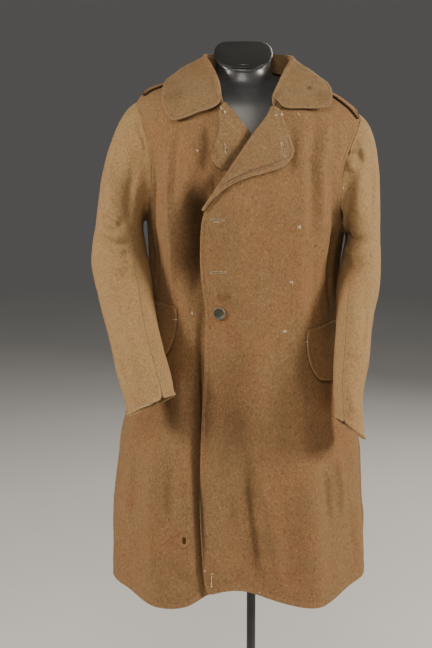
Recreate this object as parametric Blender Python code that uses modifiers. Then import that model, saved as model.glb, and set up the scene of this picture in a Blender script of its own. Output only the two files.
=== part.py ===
import bpy
import numpy as np
from mathutils import Vector
from mathutils.bvhtree import BVHTree

# Sizes in metres, angles in degrees.
# Angles round the coat run from the middle of the front (0) to the wearer's
# left side (90), the middle of the back (180) and the wearer's right side (270).
WALL = 0.003
THIN = 0.0025
SEAM = 0.00016
SEAT = 0.0004

HEM = 0.437
CHEST = 1.20
SIDE_ANGLE = 92.0

# height, reach to the wearer's right, reach to the left, front, back, squareness, middle
BODY_SECTIONS = (
    (0.420, 0.293, 0.241, 0.174, 0.186, 2.00, 0.000),
    (0.520, 0.291, 0.236, 0.171, 0.180, 2.05, 0.002),
    (0.600, 0.286, 0.229, 0.168, 0.173, 2.15, 0.004),
    (0.680, 0.276, 0.225, 0.165, 0.166, 2.25, 0.008),
    (0.760, 0.267, 0.219, 0.161, 0.158, 2.35, 0.012),
    (0.850, 0.250, 0.205, 0.155, 0.149, 2.20, 0.026),
    (0.940, 0.230, 0.187, 0.151, 0.141, 2.05, 0.040),
    (1.020, 0.220, 0.182, 0.149, 0.135, 2.00, 0.054),
    (1.100, 0.215, 0.181, 0.151, 0.134, 2.00, 0.053),
    (1.160, 0.214, 0.186, 0.153, 0.134, 2.10, 0.038),
    (1.200, 0.216, 0.194, 0.153, 0.135, 2.25, 0.020),
    (1.260, 0.220, 0.198, 0.152, 0.136, 2.35, 0.010),
)

# hem line: angle, height
HEM_LINE = (
    (-92, 0.446), (-70, 0.443), (-55, 0.432), (-45, 0.425), (-35, 0.422), (-27, 0.428),
    (-20, 0.449), (-12, 0.463), (-4, 0.464), (5, 0.452), (15, 0.439), (25, 0.430),
    (35, 0.428), (45, 0.436), (57, 0.448), (70, 0.460), (92, 0.465), (120, 0.456),
    (180, 0.440), (240, 0.444), (268, 0.446),
)

# neck opening: middle, half width, front, back; heights at side, front and back
NECK_MIDDLE = -0.0165
NECK_HALF = 0.0805
NECK_FRONT = 0.100
NECK_BACK = 0.078
NECK_SIDE_Z = 1.490
NECK_DROP = 0.060
NECK_LIFT = 0.012

# shoulders: reach, squareness, slope; wearer's right then wearer's left
SHOULDER_REACH = (0.250, 0.250)
SHOULDER_SQUARE = (7.0, 5.0)
SHOULDER_SLOPE = (0.035, 0.075)
CHEST_ROUND = 2.2
BACK_ROUND = 2.8

# folds: angle at the foot, angle at the head, foot height, head height, half width, height
FOLDS = (
    (-38, -36, 0.36, 0.88, 11, 0.017),
    (-62, -60, 0.36, 0.74, 8, -0.006),
    (30, 25, 0.36, 0.90, 11, 0.020),
    (-2, 2, 0.36, 0.84, 9, -0.011),
    (57, 52, 0.36, 0.76, 7, -0.006),
    (70, 66, 0.36, 0.72, 7, 0.007),
    (-45, -37, 1.04, 1.36, 9, 0.010),
    (16, 22, 1.12, 1.40, 8, 0.005),
    (-16, -8, 0.84, 1.06, 9, -0.004),
    (140, 150, 0.36, 0.90, 12, 0.012),
    (165, 170, 0.36, 0.82, 10, -0.009),
    (195, 190, 0.36, 0.86, 11, 0.010),
    (222, 215, 0.36, 0.80, 10, -0.008),
    (245, 238, 0.36, 0.78, 10, 0.009),
    (150, 160, 1.02, 1.30, 9, -0.004),
    (205, 198, 1.00, 1.28, 9, 0.005),
)

# front edge of the outer front, then its roll line: x, height
FRONT_EDGE = (
    (-0.096, 0.458), (-0.101, 0.505), (-0.104, 0.560), (-0.107, 0.653), (-0.105, 0.755),
    (-0.101, 0.856), (-0.096, 0.956), (-0.094, 1.026), (-0.104, 1.090), (-0.107, 1.136),
    (-0.105, 1.190), (-0.099, 1.230),
)
ROLL_OUTER = (
    (-0.099, 1.230), (-0.077, 1.262), (-0.042, 1.314), (-0.003, 1.372), (0.026, 1.408),
    (0.036, 1.428),
)
UNDER_EDGE_X = 0.050
UNDER_EDGE_TOP = 1.245
ROLL_INNER = (
    (0.050, 1.245), (0.044, 1.300), (0.022, 1.340), (-0.004, 1.370), (-0.036, 1.408),
    (-0.060, 1.436),
)

# armholes: x, height, from the underarm up to the tip; front then back
RIGHT_ARM_FRONT = (
    (-0.207, 1.232), (-0.203, 1.268), (-0.202, 1.320), (-0.212, 1.372), (-0.224, 1.408),
)
RIGHT_ARM_BACK = (
    (-0.209, 1.228), (-0.205, 1.262), (-0.205, 1.312), (-0.212, 1.362), (-0.224, 1.404),
)
LEFT_ARM_FRONT = (
    (0.178, 1.205), (0.169, 1.245), (0.172, 1.285), (0.179, 1.324), (0.196, 1.362),
)
LEFT_ARM_BACK = (
    (0.184, 1.200), (0.178, 1.238), (0.180, 1.280), (0.188, 1.320), (0.202, 1.358),
)
RIGHT_TIP_X = -0.232
LEFT_TIP_X = 0.209
RIGHT_UNDERARM_Z = 1.190
LEFT_UNDERARM_Z = 1.162

# how the inner front drops behind the outer front: depth at each height, and
# the extra trough beside the edge
TUCK = (
    (0.43, 0.0085, 3.0), (0.60, 0.0085, 3.0), (0.74, 0.0080, 4.0), (0.90, 0.0090, 6.0),
    (1.05, 0.0100, 7.0), (1.25, 0.0150, 10.0), (1.34, 0.0180, 12.0), (1.45, 0.0180, 12.0),
)
EDGE_TROUGH = (
    (0.43, 0.000, 4.0), (0.70, 0.000, 4.0), (0.80, 0.004, 4.0), (0.95, 0.007, 4.5),
    (1.04, 0.010, 5.0), (1.10, 0.024, 6.5), (1.19, 0.028, 7.0), (1.25, 0.016, 6.5),
    (1.31, 0.004, 6.0), (1.45, 0.000, 6.0),
)

# how far the rows of a panel sag below the straight line from edge to underarm
PANEL_SAG = 2.4
BACK_SAG = 0.05

LOWER_ROWS = 15
UPPER_ROWS = 12
ROLL_ROWS = 8

# sleeves: middle x, y, z, half width, half depth, tilt of the outer side up, pitch
RIGHT_SLEEVE = (
    (-0.2670, -0.018, 1.160, 0.0595, 0.0750, 33, 4),
    (-0.2680, -0.040, 1.108, 0.0610, 0.0680, 8, 14),
    (-0.2560, -0.070, 1.050, 0.0540, 0.0600, -6, 22),
    (-0.2410, -0.108, 0.992, 0.0500, 0.0530, -14, 26),
    (-0.2250, -0.149, 0.935, 0.0505, 0.0490, -20, 24),
    (-0.2090, -0.174, 0.885, 0.0510, 0.0460, -24, 20),
    (-0.2020, -0.186, 0.852, 0.0505, 0.0450, -25, 17),
)
LEFT_SLEEVE = (
    (0.2180, -0.022, 1.125, 0.0460, 0.0750, 33, 5),
    (0.2130, -0.052, 1.062, 0.0430, 0.0670, 6, 16),
    (0.2005, -0.098, 0.998, 0.0345, 0.0580, -6, 22),
    (0.1940, -0.134, 0.936, 0.0350, 0.0510, -14, 22),
    (0.1860, -0.154, 0.880, 0.0305, 0.0470, -24, 18),
    (0.1885, -0.164, 0.828, 0.0340, 0.0440, -34, 16),
    (0.1905, -0.168, 0.802, 0.0365, 0.0430, -38, 15),
)
HEAD_ROWS = 8
HEAD_FREE = 5
HEAD_FULL = 0.55
HEAD_OUTWARD = 0.45
UNDERARM_GAP = 0.0032
ARM_CLEAR = 0.0031
# how steeply the head leaves the armhole, and how far its curve pulls at each end:
# inner side, front and back, outer side
HEAD_RAKE = 26
UNDERARM_RAKE = 12
HEAD_PULL = (0.075, 0.085, 0.162)
ARM_PULL = (0.070, 0.130, 0.210)
ARM_HANG = (0.0, -0.12, -1.0)
ARM_ROWS = 11
FRONT_SEAM_AT = 8
BACK_SEAM_AT = 17

# collar, from the wearer's right round the back: station, fold line x, y, height,
# leaf edge x, y, height
COLLAR_LINES = (
    (0.0, -0.064, -0.084, 1.450, -0.163, -0.116, 1.403),
    (3.0, -0.070, -0.062, 1.482, -0.177, -0.090, 1.428),
    (6.0, -0.085, -0.028, 1.511, -0.179, -0.050, 1.462),
    (8.0, -0.093, 0.002, 1.525, -0.176, -0.012, 1.481),
    (11.0, -0.083, 0.046, 1.528, -0.158, 0.054, 1.464),
    (13.5, -0.055, 0.078, 1.529, -0.100, 0.112, 1.438),
    (16.0, -0.013, 0.088, 1.528, -0.013, 0.134, 1.428),
    (18.5, 0.030, 0.077, 1.528, 0.072, 0.112, 1.432),
    (21.0, 0.062, 0.044, 1.526, 0.124, 0.054, 1.450),
    (24.0, 0.075, 0.002, 1.519, 0.137, 0.002, 1.482),
    (26.0, 0.065, -0.030, 1.507, 0.150, -0.038, 1.470),
    (29.0, 0.049, -0.060, 1.477, 0.154, -0.070, 1.451),
    (32.0, 0.034, -0.085, 1.447, 0.147, -0.098, 1.430),
)
COLLAR_END_RIGHT = (
    (-0.0640, -0.0840, 1.450), (-0.0680, -0.1040, 1.420), (-0.0900, -0.1080, 1.418),
    (-0.1150, -0.1120, 1.411), (-0.1400, -0.1150, 1.406), (-0.1630, -0.1160, 1.403),
)
COLLAR_END_LEFT = (
    (0.0340, -0.0850, 1.447), (0.0500, -0.1030, 1.420), (0.0720, -0.1050, 1.421),
    (0.0980, -0.1030, 1.424), (0.1250, -0.1000, 1.427), (0.1470, -0.0980, 1.428),
)
COLLAR_LIFT = 0.0098
COLLAR_TURN = 0.0045
END_FADE = 6
LEAF_ROWS = 8
LEAF_BOW_OUT = 0.004
LEAF_BOW_UP = 0.006
STAND_GAP = 0.00056

# lapels: edge of the leaf, x and height, beginning at the notch
LAPEL_LEFT_EDGE = (
    (0.052, 1.418), (0.059, 1.386), (0.078, 1.343), (0.066, 1.324), (0.024, 1.305),
    (-0.007, 1.297), (-0.035, 1.287), (-0.060, 1.271), (-0.083, 1.251), (-0.0985, 1.232),
)
LAPEL_RIGHT_EDGE = (
    (-0.070, 1.416), (-0.066, 1.400), (-0.071, 1.366), (-0.085, 1.331), (-0.082, 1.319),
    (-0.050, 1.314), (-0.019, 1.314), (0.000, 1.312), (0.015, 1.310),
)
LAPEL_ROLL = 0.0040
LAPEL_BOW = 0.0022
LAPEL_STAND = 0.0010
LAPEL_LIFT = 0.0024
ROLL_TURN = (-28, 10, 50)

# pocket flaps: front edge x and height from the top, then the rear angle
FLAP_LEFT = ((0.103, 0.992), (0.103, 0.956), (0.107, 0.930), (0.116, 0.906), (0.130, 0.886))
FLAP_RIGHT = ((-0.150, 1.033), (-0.150, 1.002), (-0.154, 0.975), (-0.162, 0.950), (-0.176, 0.926))
FLAP_REAR_ANGLE = 74.0
FLAP_FLARE = 0.006

# shoulder straps: head x, foot x, front y and back y at the foot
STRAP_RIGHT = (-0.118, -0.2200, -0.022, 0.022)
STRAP_LEFT = (0.098, 0.2090, -0.034, 0.010)

BUTTON_AT = (-0.068, 1.028)
BUTTON_RADIUS = 0.0130
BUTTON_THICK = 0.0046
# button outline in parts of its radius and thickness
BUTTON_OUTLINE = (
    (0.0, 0.0), (0.55, 0.0), (0.9, 0.13), (1.0, 0.35), (0.99, 0.75), (0.88, 1.0),
    (0.74, 0.92), (0.62, 0.62), (0.0, 0.58),
)
HOLE_AT = (-0.138, 0.569)
HOLE_RADIUS = 0.0045
HOLE_LONG = 1.9

# dress form: height, middle, half width, front, back
FORM_SECTIONS = (
    (0.820, 0.000, 0.158, 0.108, 0.118), (0.880, 0.000, 0.165, 0.114, 0.124),
    (0.960, -0.002, 0.148, 0.104, 0.108), (1.040, -0.004, 0.128, 0.092, 0.094),
    (1.110, -0.006, 0.130, 0.094, 0.094), (1.180, -0.009, 0.145, 0.104, 0.098),
    (1.250, -0.012, 0.157, 0.104, 0.100), (1.300, -0.014, 0.166, 0.100, 0.100),
)
FORM_ROUND = 26
FORM_NECK_X = -0.020
FORM_NECK_Y = 0.010
FORM_NECK_HALF = 0.0565
FORM_NECK_FRONT = 0.054
FORM_NECK_BACK = 0.056
FORM_SHOULDER_Z = 1.478
FORM_SLOPE = 0.060
FORM_WIDEN = 0.16
FORM_SIDE_RISE = 0.016
FORM_GAP = 0.0006
SEAT_SIDES = 0.45
SEAT_ROWS = (4, 5)
SEAT_FRONT = -0.030
SEAT_REACH = 0.013
# shoulder rows of the form as a quarter turn in degrees, and its neck rows: height, size
FORM_LEANS = (14, 28, 42, 54, 65, 75, 84)
FORM_NECK_ROWS = ((1.492, 1.0), (1.512, 0.985))
# rounded foot of the form: size, drop; plate on the neck: size, rise
FORM_FOOT = ((0.62, -0.018), (0.90, -0.013), (0.985, -0.005))
CAP_ROWS = ((0.96, 0.0004), (1.03, 0.0016), (1.05, 0.0036), (1.03, 0.0056), (0.97, 0.0066))
NECK_TILT = 0.47
NECK_TOP_Z = 1.529
POLE_RADIUS = 0.0095
BASE_RADIUS = 0.150
BASE_THICK = 0.008
BOSS_TOP = 0.030

BODY_CLOTH = ("body cloth", (0.175, 0.098, 0.047), 0.95, 0.0)
FRONT_CLOTH = ("front cloth", (0.182, 0.102, 0.049), 0.95, 0.0)
SLEEVE_CLOTH = ("sleeve cloth", (0.235, 0.150, 0.074), 0.95, 0.0)
COLLAR_CLOTH = ("collar cloth", (0.215, 0.132, 0.063), 0.95, 0.0)
FORM_SKIN = ("form skin", (0.030, 0.030, 0.033), 0.35, 0.0)
FORM_CAP = ("form cap", (0.060, 0.060, 0.064), 0.30, 0.2)
POLE_METAL = ("pole metal", (0.060, 0.060, 0.065), 0.35, 1.0)
BUTTON_HORN = ("button horn", (0.070, 0.058, 0.036), 0.40, 0.0)

for old in list(bpy.data.objects):
    bpy.data.objects.remove(old, do_unlink=True)

coat = bpy.data.collections.new("greatcoat_on_form")
cutters = bpy.data.collections.new("cutters")
bpy.context.scene.collection.children.link(coat)
bpy.context.scene.collection.children.link(cutters)


# a smooth track through the rows of a table, whose first column is the position
def track(table, at):
    rows = np.asarray(table, float)
    knots = rows[:, 0]
    values = rows[:, 1:]
    slopes = np.gradient(values, knots, axis=0)
    at = np.clip(np.asarray(at, float), knots[0], knots[-1])
    i = np.clip(np.searchsorted(knots, at, side="right") - 1, 0, len(knots) - 2)
    span = knots[i + 1] - knots[i]
    t = ((at - knots[i]) / span)[..., None]
    span = span[..., None]
    start = values[i] * (2 * t**3 - 3 * t**2 + 1) + slopes[i] * span * (t**3 - 2 * t**2 + t)
    return start + values[i + 1] * (3 * t**2 - 2 * t**3) + slopes[i + 1] * span * (t**3 - t**2)


# points spaced evenly along a smooth line through the given points
def spaced(points, count):
    points = np.asarray(points, float)
    steps = np.linalg.norm(np.diff(points, axis=0), axis=1)
    along = np.concatenate(([0], np.cumsum(steps)))
    fine = track(np.column_stack((along, points)), np.linspace(0, along[-1], 200))
    along = np.concatenate(([0], np.cumsum(np.linalg.norm(np.diff(fine, axis=0), axis=1))))
    wanted = np.linspace(0, along[-1], count)
    return np.column_stack([np.interp(wanted, along, fine[:, k]) for k in range(fine.shape[1])])


def ease(t):
    t = np.clip(t, 0, 1)
    return t * t * (3 - 2 * t)


def unit(v):
    return v / np.maximum(np.linalg.norm(v, axis=-1, keepdims=True), 1e-12)


# point of a rounded oval at an angle from the front, widest at y = middle
def oval(angle, right, left, front, back, power, middle=0.0):
    turn = np.radians(angle)
    s = np.sin(turn)
    c = np.cos(turn)
    reach = (np.abs(s) ** power + np.abs(c) ** power) ** (1 / power)
    x = np.where(s >= 0, left, right) * s / reach
    y = middle - np.where(c >= 0, front + middle, back - middle) * c / reach
    return x, y


# the coat's smooth form: height 0 to 1 runs from hem to chest, 1 to 2 from chest to neck
def smooth_body(angle, height):
    angle, height = np.broadcast_arrays(np.asarray(angle, float), np.asarray(height, float))
    turn = np.radians(angle)
    side = np.abs(np.sin(turn))
    round_angle = (angle + SIDE_ANGLE) % 360 - SIDE_ANGLE
    foot = track(HEM_LINE, round_angle)[..., 0] - HEM
    z_low = HEM + np.clip(height, None, 1) * (CHEST - HEM)
    z_low = z_low + foot * (1 - np.clip(height, 0, 1)) ** 3
    right, left, front, back, power, middle = np.moveaxis(track(BODY_SECTIONS, z_low), -1, 0)
    x_low, y_low = oval(angle, right, left, front, back, power, middle)
    rise = np.radians(np.clip(height - 1, 0, 1) * 90)
    is_left = np.sin(turn) >= 0
    square = np.where(is_left, SHOULDER_SQUARE[1], SHOULDER_SQUARE[0])
    round_end = np.where(np.cos(turn) >= 0, CHEST_ROUND, BACK_ROUND)
    power = round_end + (square - round_end) * side**3
    reach = (np.cos(rise) ** power + np.sin(rise) ** power) ** (1 / power)
    out = np.cos(rise) / reach
    up = np.sin(rise) / reach
    widen = np.where(is_left, SHOULDER_REACH[1], SHOULDER_REACH[0])
    chest = np.where(is_left, left, right)
    x_wide = x_low * (1 + (widen / chest - 1) * ease(up) * side**2)
    neck_x, neck_y = oval(angle, NECK_HALF, NECK_HALF, NECK_FRONT, NECK_BACK, 2.0)
    neck_z = NECK_SIDE_Z + np.where(np.cos(turn) >= 0, -NECK_DROP, NECK_LIFT) * np.cos(turn) ** 2
    slope = np.where(is_left, SHOULDER_SLOPE[1], SHOULDER_SLOPE[0]) * side**2
    x = (NECK_MIDDLE + neck_x) * (1 - out) + x_wide * out
    y = neck_y * (1 - out) + y_low * out
    z = z_low + (neck_z - slope * out - CHEST) * up
    return np.stack((x, y, z), axis=-1)


def normal_of(shape, angle, height):
    turn = shape(angle + 0.4, height) - shape(angle - 0.4, height)
    low = np.clip(height - 0.004, 0, 2)
    high = np.clip(height + 0.004, 0, 2)
    rise = shape(angle, high) - shape(angle, low)
    return unit(np.cross(turn, rise))


# the coat's form with its folds
def body(angle, height):
    angle, height = np.broadcast_arrays(np.asarray(angle, float), np.asarray(height, float))
    point = smooth_body(angle, height)
    out = normal_of(smooth_body, angle, height)
    z = point[..., 2]
    depth = np.zeros(z.shape)
    for foot, head, low, high, half, tall in FOLDS:
        part = (z - low) / (high - low)
        middle = foot + (head - foot) * part
        away = (angle - middle + 180) % 360 - 180
        if low < HEM:
            run = ease((1 - part) / 0.7)
        else:
            run = ease(part / 0.4) * ease((1 - part) / 0.4)
        depth = depth + tall * run * np.exp(-((away / half) ** 2))
    return point + out * depth[..., None]


# angle and height of the place on the coat with this x and z, on the front or the back
def place(x, z, back=False, shape=body):
    angles = np.linspace(94, 266, 60) if back else np.linspace(-90, 90, 61)
    heights = np.linspace(0.0, 2.0, 61)
    grid = shape(angles[:, None], heights[None, :])
    miss = (grid[..., 0] - x) ** 2 + (grid[..., 2] - z) ** 2
    i, k = np.unravel_index(np.argmin(miss), miss.shape)
    spot = np.array((angles[i], heights[k]))
    for _ in range(12):
        here = shape(spot[0], spot[1])
        error = np.array((x - here[0], z - here[2]))
        turn = (shape(spot[0] + 0.2, spot[1]) - shape(spot[0] - 0.2, spot[1])) / 0.4
        rise = (shape(spot[0], spot[1] + 0.002) - shape(spot[0], spot[1] - 0.002)) / 0.004
        step = np.linalg.lstsq(np.array(((turn[0], rise[0]), (turn[2], rise[2]))), error, rcond=None)[0]
        step = step * min(1.0, 4.0 / max(abs(step[0]), 60 * abs(step[1]), 1e-9))
        spot = spot + step
        spot[1] = np.clip(spot[1], 0.0, 2.0)
    return spot


def places(table, back=False):
    return np.array([place(x, z, back) for x, z in table])


def height_at(z):
    return (z - HEM) / (CHEST - HEM)


def tip_place(angle, x):
    heights = np.linspace(1.3, 1.95, 400)
    line = body(np.full(heights.shape, angle), heights)
    return np.array((angle, heights[np.argmin(np.abs(line[:, 0] - x))]))


# a patch between four lines; left and right run up, foot and head run left to right
def patch(foot, head, left, right):
    u = np.linspace(0, 1, len(foot))[None, :, None]
    v = np.linspace(0, 1, len(left))[:, None, None]
    ruled = (1 - v) * foot[None] + v * head[None] + (1 - u) * left[:, None] + u * right[:, None]
    corners = (1 - u) * ((1 - v) * left[0] + v * left[-1]) + u * ((1 - v) * right[0] + v * right[-1])
    return ruled - corners


def paint(obj, look):
    name, colour, rough, metal = look
    skin = bpy.data.materials.new(obj.name + " " + name)
    skin.use_nodes = True
    shader = skin.node_tree.nodes["Principled BSDF"]
    shader.inputs["Base Color"].default_value = (*colour, 1.0)
    shader.inputs["Roughness"].default_value = rough
    shader.inputs["Metallic"].default_value = metal
    skin.diffuse_color = (*colour, 1.0)
    obj.data.materials.append(skin)


def volume_of(mesh):
    total = 0.0
    for face in mesh.polygons:
        a = mesh.vertices[face.vertices[0]].co
        for i in range(1, len(face.vertices) - 1):
            b = mesh.vertices[face.vertices[i]].co
            c = mesh.vertices[face.vertices[i + 1]].co
            total += a.dot(b.cross(c)) / 6
    return total


def add_object(name, verts, faces, look, home=coat, smooth=True):
    mesh = bpy.data.meshes.new(name)
    mesh.from_pydata([tuple(map(float, v)) for v in verts], [], [tuple(map(int, f)) for f in faces])
    mesh.update()
    obj = bpy.data.objects.new(name, mesh)
    home.objects.link(obj)
    if smooth:
        for face in mesh.polygons:
            face.use_smooth = len(face.vertices) == 4
    if volume_of(mesh) < 0:
        mesh.flip_normals()
    if look:
        paint(obj, look)
    return obj


# a wall of cloth between an outer and an inner grid of points
def add_wall(name, outer, inner, look):
    rows, cols = outer.shape[:2]
    verts = np.concatenate((outer.reshape(-1, 3), inner.reshape(-1, 3)))
    half = rows * cols
    faces = []
    for r in range(rows - 1):
        for c in range(cols - 1):
            a = r * cols + c
            faces.append((a, a + 1, a + cols + 1, a + cols))
            faces.append((half + a, half + a + cols, half + a + cols + 1, half + a + 1))
    for c in range(cols - 1):
        last = (rows - 1) * cols + c
        faces.append((c + 1, c, half + c, half + c + 1))
        faces.append((last, last + 1, half + last + 1, half + last))
    for r in range(rows - 1):
        a = r * cols
        b = a + cols - 1
        faces.append((a, a + cols, half + a + cols, half + a))
        faces.append((b + cols, b, half + b, half + b + cols))
    return add_object(name, verts, faces, look)


# draws the rim of a sheet back from its seams
def drawn_in(points, amount=SEAM, sides="lrbt"):
    moved = points.copy()
    if "l" in sides:
        moved[:, 0] += unit(points[:, 1] - points[:, 0]) * amount
    if "r" in sides:
        moved[:, -1] += unit(points[:, -2] - points[:, -1]) * amount
    if "b" in sides:
        moved[0] += unit(points[1] - points[0]) * amount
    if "t" in sides:
        moved[-1] += unit(points[-2] - points[-1]) * amount
    return moved


def wall_sides(middle, out, thick=WALL, sides="lrbt"):
    return (
        drawn_in(middle + out * thick / 2, sides=sides),
        drawn_in(middle - out * thick / 2, sides=sides),
    )


# normals of a grid of points, the same way out as the sign given
def grid_normals(points, wrap=False):
    if wrap:
        across = np.roll(points, -1, axis=1) - np.roll(points, 1, axis=1)
    else:
        across = np.gradient(points, axis=1)
    return unit(np.cross(across, np.gradient(points, axis=0)))


# seams shared by the fronts and the back
def armhole(side):
    left = side == "left"
    front = places(LEFT_ARM_FRONT if left else RIGHT_ARM_FRONT)
    back = places(LEFT_ARM_BACK if left else RIGHT_ARM_BACK, back=True)
    under = np.array((SIDE_ANGLE, height_at(LEFT_UNDERARM_Z if left else RIGHT_UNDERARM_Z)))
    tip = tip_place(SIDE_ANGLE, LEFT_TIP_X) if left else tip_place(-SIDE_ANGLE, RIGHT_TIP_X)
    if not left:
        under[0] = -SIDE_ANGLE
    turn = np.array((0.0 if left else 360.0, 0.0))
    scale = np.array((1 / 60, 1.0))
    front = spaced(np.vstack((under, front, tip)) * scale, UPPER_ROWS + 1) / scale
    back = spaced(np.vstack((under + turn, back, tip + turn)) * scale, UPPER_ROWS + 1) / scale
    return front, back


left_front_arm, left_back_arm = armhole("left")
right_front_arm, right_back_arm = armhole("right")


def seam_line(points, count):
    scale = np.array((1 / 60, 1.0))
    return spaced(np.asarray(points) * scale, count) / scale


# outer front, on the wearer's left
edge_line = places(FRONT_EDGE)
edge_line[0, 1] = 0.0
roll_line = places(ROLL_OUTER)
neck_corner = roll_line[-1]
left_neck = np.array((SIDE_ANGLE, 2.0))
left_edge_low = seam_line(edge_line, LOWER_ROWS + 1)
roll_rows = seam_line(roll_line, ROLL_ROWS + 1)
left_neck_rows = seam_line((neck_corner, (0.5 * (neck_corner[0] + SIDE_ANGLE), 2.0), left_neck),
                           UPPER_ROWS - ROLL_ROWS + 1)
left_edge_high = np.vstack((roll_rows, left_neck_rows[1:]))


def side_rows(angle, top):
    return np.column_stack((np.full(LOWER_ROWS + 1, angle), np.linspace(0, top, LOWER_ROWS + 1)))


def across(start, end, steps, sag=1.0):
    part = np.stack((steps, 1 - (1 - steps) ** sag), axis=-1)[None]
    return start[:, None] * (1 - part) + end[:, None] * part


def shoulder_line(neck, tip, steps):
    return neck[None] * (1 - steps[:, None]) + tip[None] * steps[:, None]


outer_steps = np.linspace(0, 1, 19) ** 1.08
left_low = across(left_edge_low, side_rows(SIDE_ANGLE, left_front_arm[0, 1]), outer_steps, PANEL_SAG)
left_high = patch(
    left_low[-1],
    shoulder_line(left_neck, left_front_arm[-1], outer_steps),
    left_edge_high,
    left_front_arm,
)
left_grid = np.concatenate((left_low, left_high[1:]))
left_middle = body(left_grid[..., 0], left_grid[..., 1])
left_out = normal_of(body, left_grid[..., 0], left_grid[..., 1])
front_left_outer, front_left_inner = wall_sides(left_middle, left_out)

# height of the outer front's edge and roll line at any level, as an angle
outer_path = np.vstack((left_edge_low, roll_rows[1:]))
outer_path_z = body(outer_path[:, 0], outer_path[:, 1])[:, 2]


def edge_angle(z):
    return np.interp(z, outer_path_z, outer_path[:, 0])


# the inner front follows the coat's form, and drops behind the outer front
def under_body(angle, height):
    point = body(angle, height)
    out = normal_of(smooth_body, angle, height)
    z = point[..., 2]
    past = angle - edge_angle(z)
    depth, turn = np.moveaxis(track(TUCK, z), -1, 0)
    drop = depth * ease((past + turn) / (0.75 * turn))
    depth, half = np.moveaxis(track(EDGE_TROUGH, z), -1, 0)
    drop = drop + depth * np.exp(-(((past + 0.55 * half) / half) ** 2))
    return point - out * drop[..., None]


# inner front, on the wearer's right
right_neck = np.array((-SIDE_ANGLE, 2.0))
hidden_low = []
for row in left_edge_low:
    z = body(row[0], row[1])[2]
    part = (z - HEM) / (FRONT_EDGE[-1][1] - HEM)
    hidden_low.append(place(UNDER_EDGE_X, HEM + part * (UNDER_EDGE_TOP - HEM)))
hidden_low = np.array(hidden_low)
hidden_low[0, 1] = 0.0
hidden_roll = seam_line(places(ROLL_INNER), ROLL_ROWS + 1)
hidden_low[-1] = hidden_roll[0]
right_corner = hidden_roll[-1]
right_neck_rows = seam_line((right_corner, (0.5 * (right_corner[0] - SIDE_ANGLE), 2.0), right_neck),
                            UPPER_ROWS - ROLL_ROWS + 1)
hidden_high = np.vstack((hidden_roll, right_neck_rows[1:]))
right_side = side_rows(-SIDE_ANGLE, right_front_arm[0, 1])
turn_steps = np.array((-9.0, -6.0, -4.0, -2.4, -1.0, 0.6, 3.0))
side_steps = np.linspace(0, 1, 11)[:-1]
right_low = np.zeros((LOWER_ROWS + 1, len(side_steps) + len(turn_steps) + 3, 2))
for r in range(LOWER_ROWS + 1):
    side = right_side[r]
    edge = left_edge_low[r]
    hidden = hidden_low[r]
    part = (edge[0] + turn_steps - side[0]) / (hidden[0] - side[0])
    first = side_steps * part[0]
    last = part[-1] + (1 - part[-1]) * np.array((0.35, 0.7, 1.0))
    steps = np.concatenate((first, part, last))
    right_low[r] = side + (hidden - side) * np.column_stack((steps, steps**PANEL_SAG))
chest_steps = np.linalg.norm(right_low[-1] - right_low[-1, 0], axis=1)
chest_steps = chest_steps / chest_steps[-1]
top_steps = 0.5 * chest_steps + 0.5 * np.linspace(0, 1, len(chest_steps))
right_high = patch(
    right_low[-1],
    shoulder_line(right_front_arm[-1], right_neck, top_steps),
    right_front_arm,
    hidden_high,
)
right_grid = np.concatenate((right_low, right_high[1:]))
right_middle = under_body(right_grid[..., 0], right_grid[..., 1])
right_out = normal_of(under_body, right_grid[..., 0], right_grid[..., 1])
front_right_outer, front_right_inner = wall_sides(right_middle, right_out)

# back, in one piece from side seam to side seam
NECK_COLS = 8
SHOULDER_COLS = 6
back_cols = NECK_COLS + 2 * SHOULDER_COLS + 1
back_steps = np.linspace(0, 1, back_cols)
back_left = side_rows(SIDE_ANGLE, left_back_arm[0, 1])
back_right = side_rows(360 - SIDE_ANGLE, right_back_arm[0, 1])
back_low = across(back_left, back_right, back_steps)
back_low[..., 1] -= BACK_SAG * np.sin(np.pi * back_steps) * np.linspace(0, 1, LOWER_ROWS + 1)[:, None]
shoulder_steps = np.linspace(0, 1, SHOULDER_COLS + 1)
head_left = shoulder_line(left_back_arm[-1], left_neck, shoulder_steps)
neck_angles = np.linspace(SIDE_ANGLE, 360 - SIDE_ANGLE, NECK_COLS + 1)
head_neck = np.column_stack((neck_angles, np.full(NECK_COLS + 1, 2.0)))
head_right = shoulder_line(right_neck + (360.0, 0.0), right_back_arm[-1], shoulder_steps)
back_head = np.vstack((head_left, head_neck[1:-1], head_right))
back_high = patch(back_low[-1], back_head, left_back_arm, right_back_arm)
back_grid = np.concatenate((back_low, back_high[1:]))
back_middle = body(back_grid[..., 0], back_grid[..., 1])
back_out = normal_of(body, back_grid[..., 0], back_grid[..., 1])
back_outer, back_inner = wall_sides(back_middle, back_out)

front_left = add_wall("front_left", front_left_outer, front_left_inner, FRONT_CLOTH)
front_right = add_wall("front_right", front_right_outer, front_right_inner, FRONT_CLOTH)
back = add_wall("back", back_outer, back_inner, BODY_CLOTH)


# a search tree of sheets given as grids of points
def tree_of(grids):
    verts = []
    faces = []
    for grid in grids:
        rows, cols = grid.shape[:2]
        start = len(verts)
        verts += [Vector(p) for p in grid.reshape(-1, 3)]
        for r in range(rows - 1):
            for c in range(cols - 1):
                a = start + r * cols + c
                faces.append((a, a + 1, a + cols + 1))
                faces.append((a, a + cols + 1, a + cols))
    return BVHTree.FromPolygons(verts, faces)


body_tree = tree_of((front_left_outer, front_right_outer, back_outer))


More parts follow.
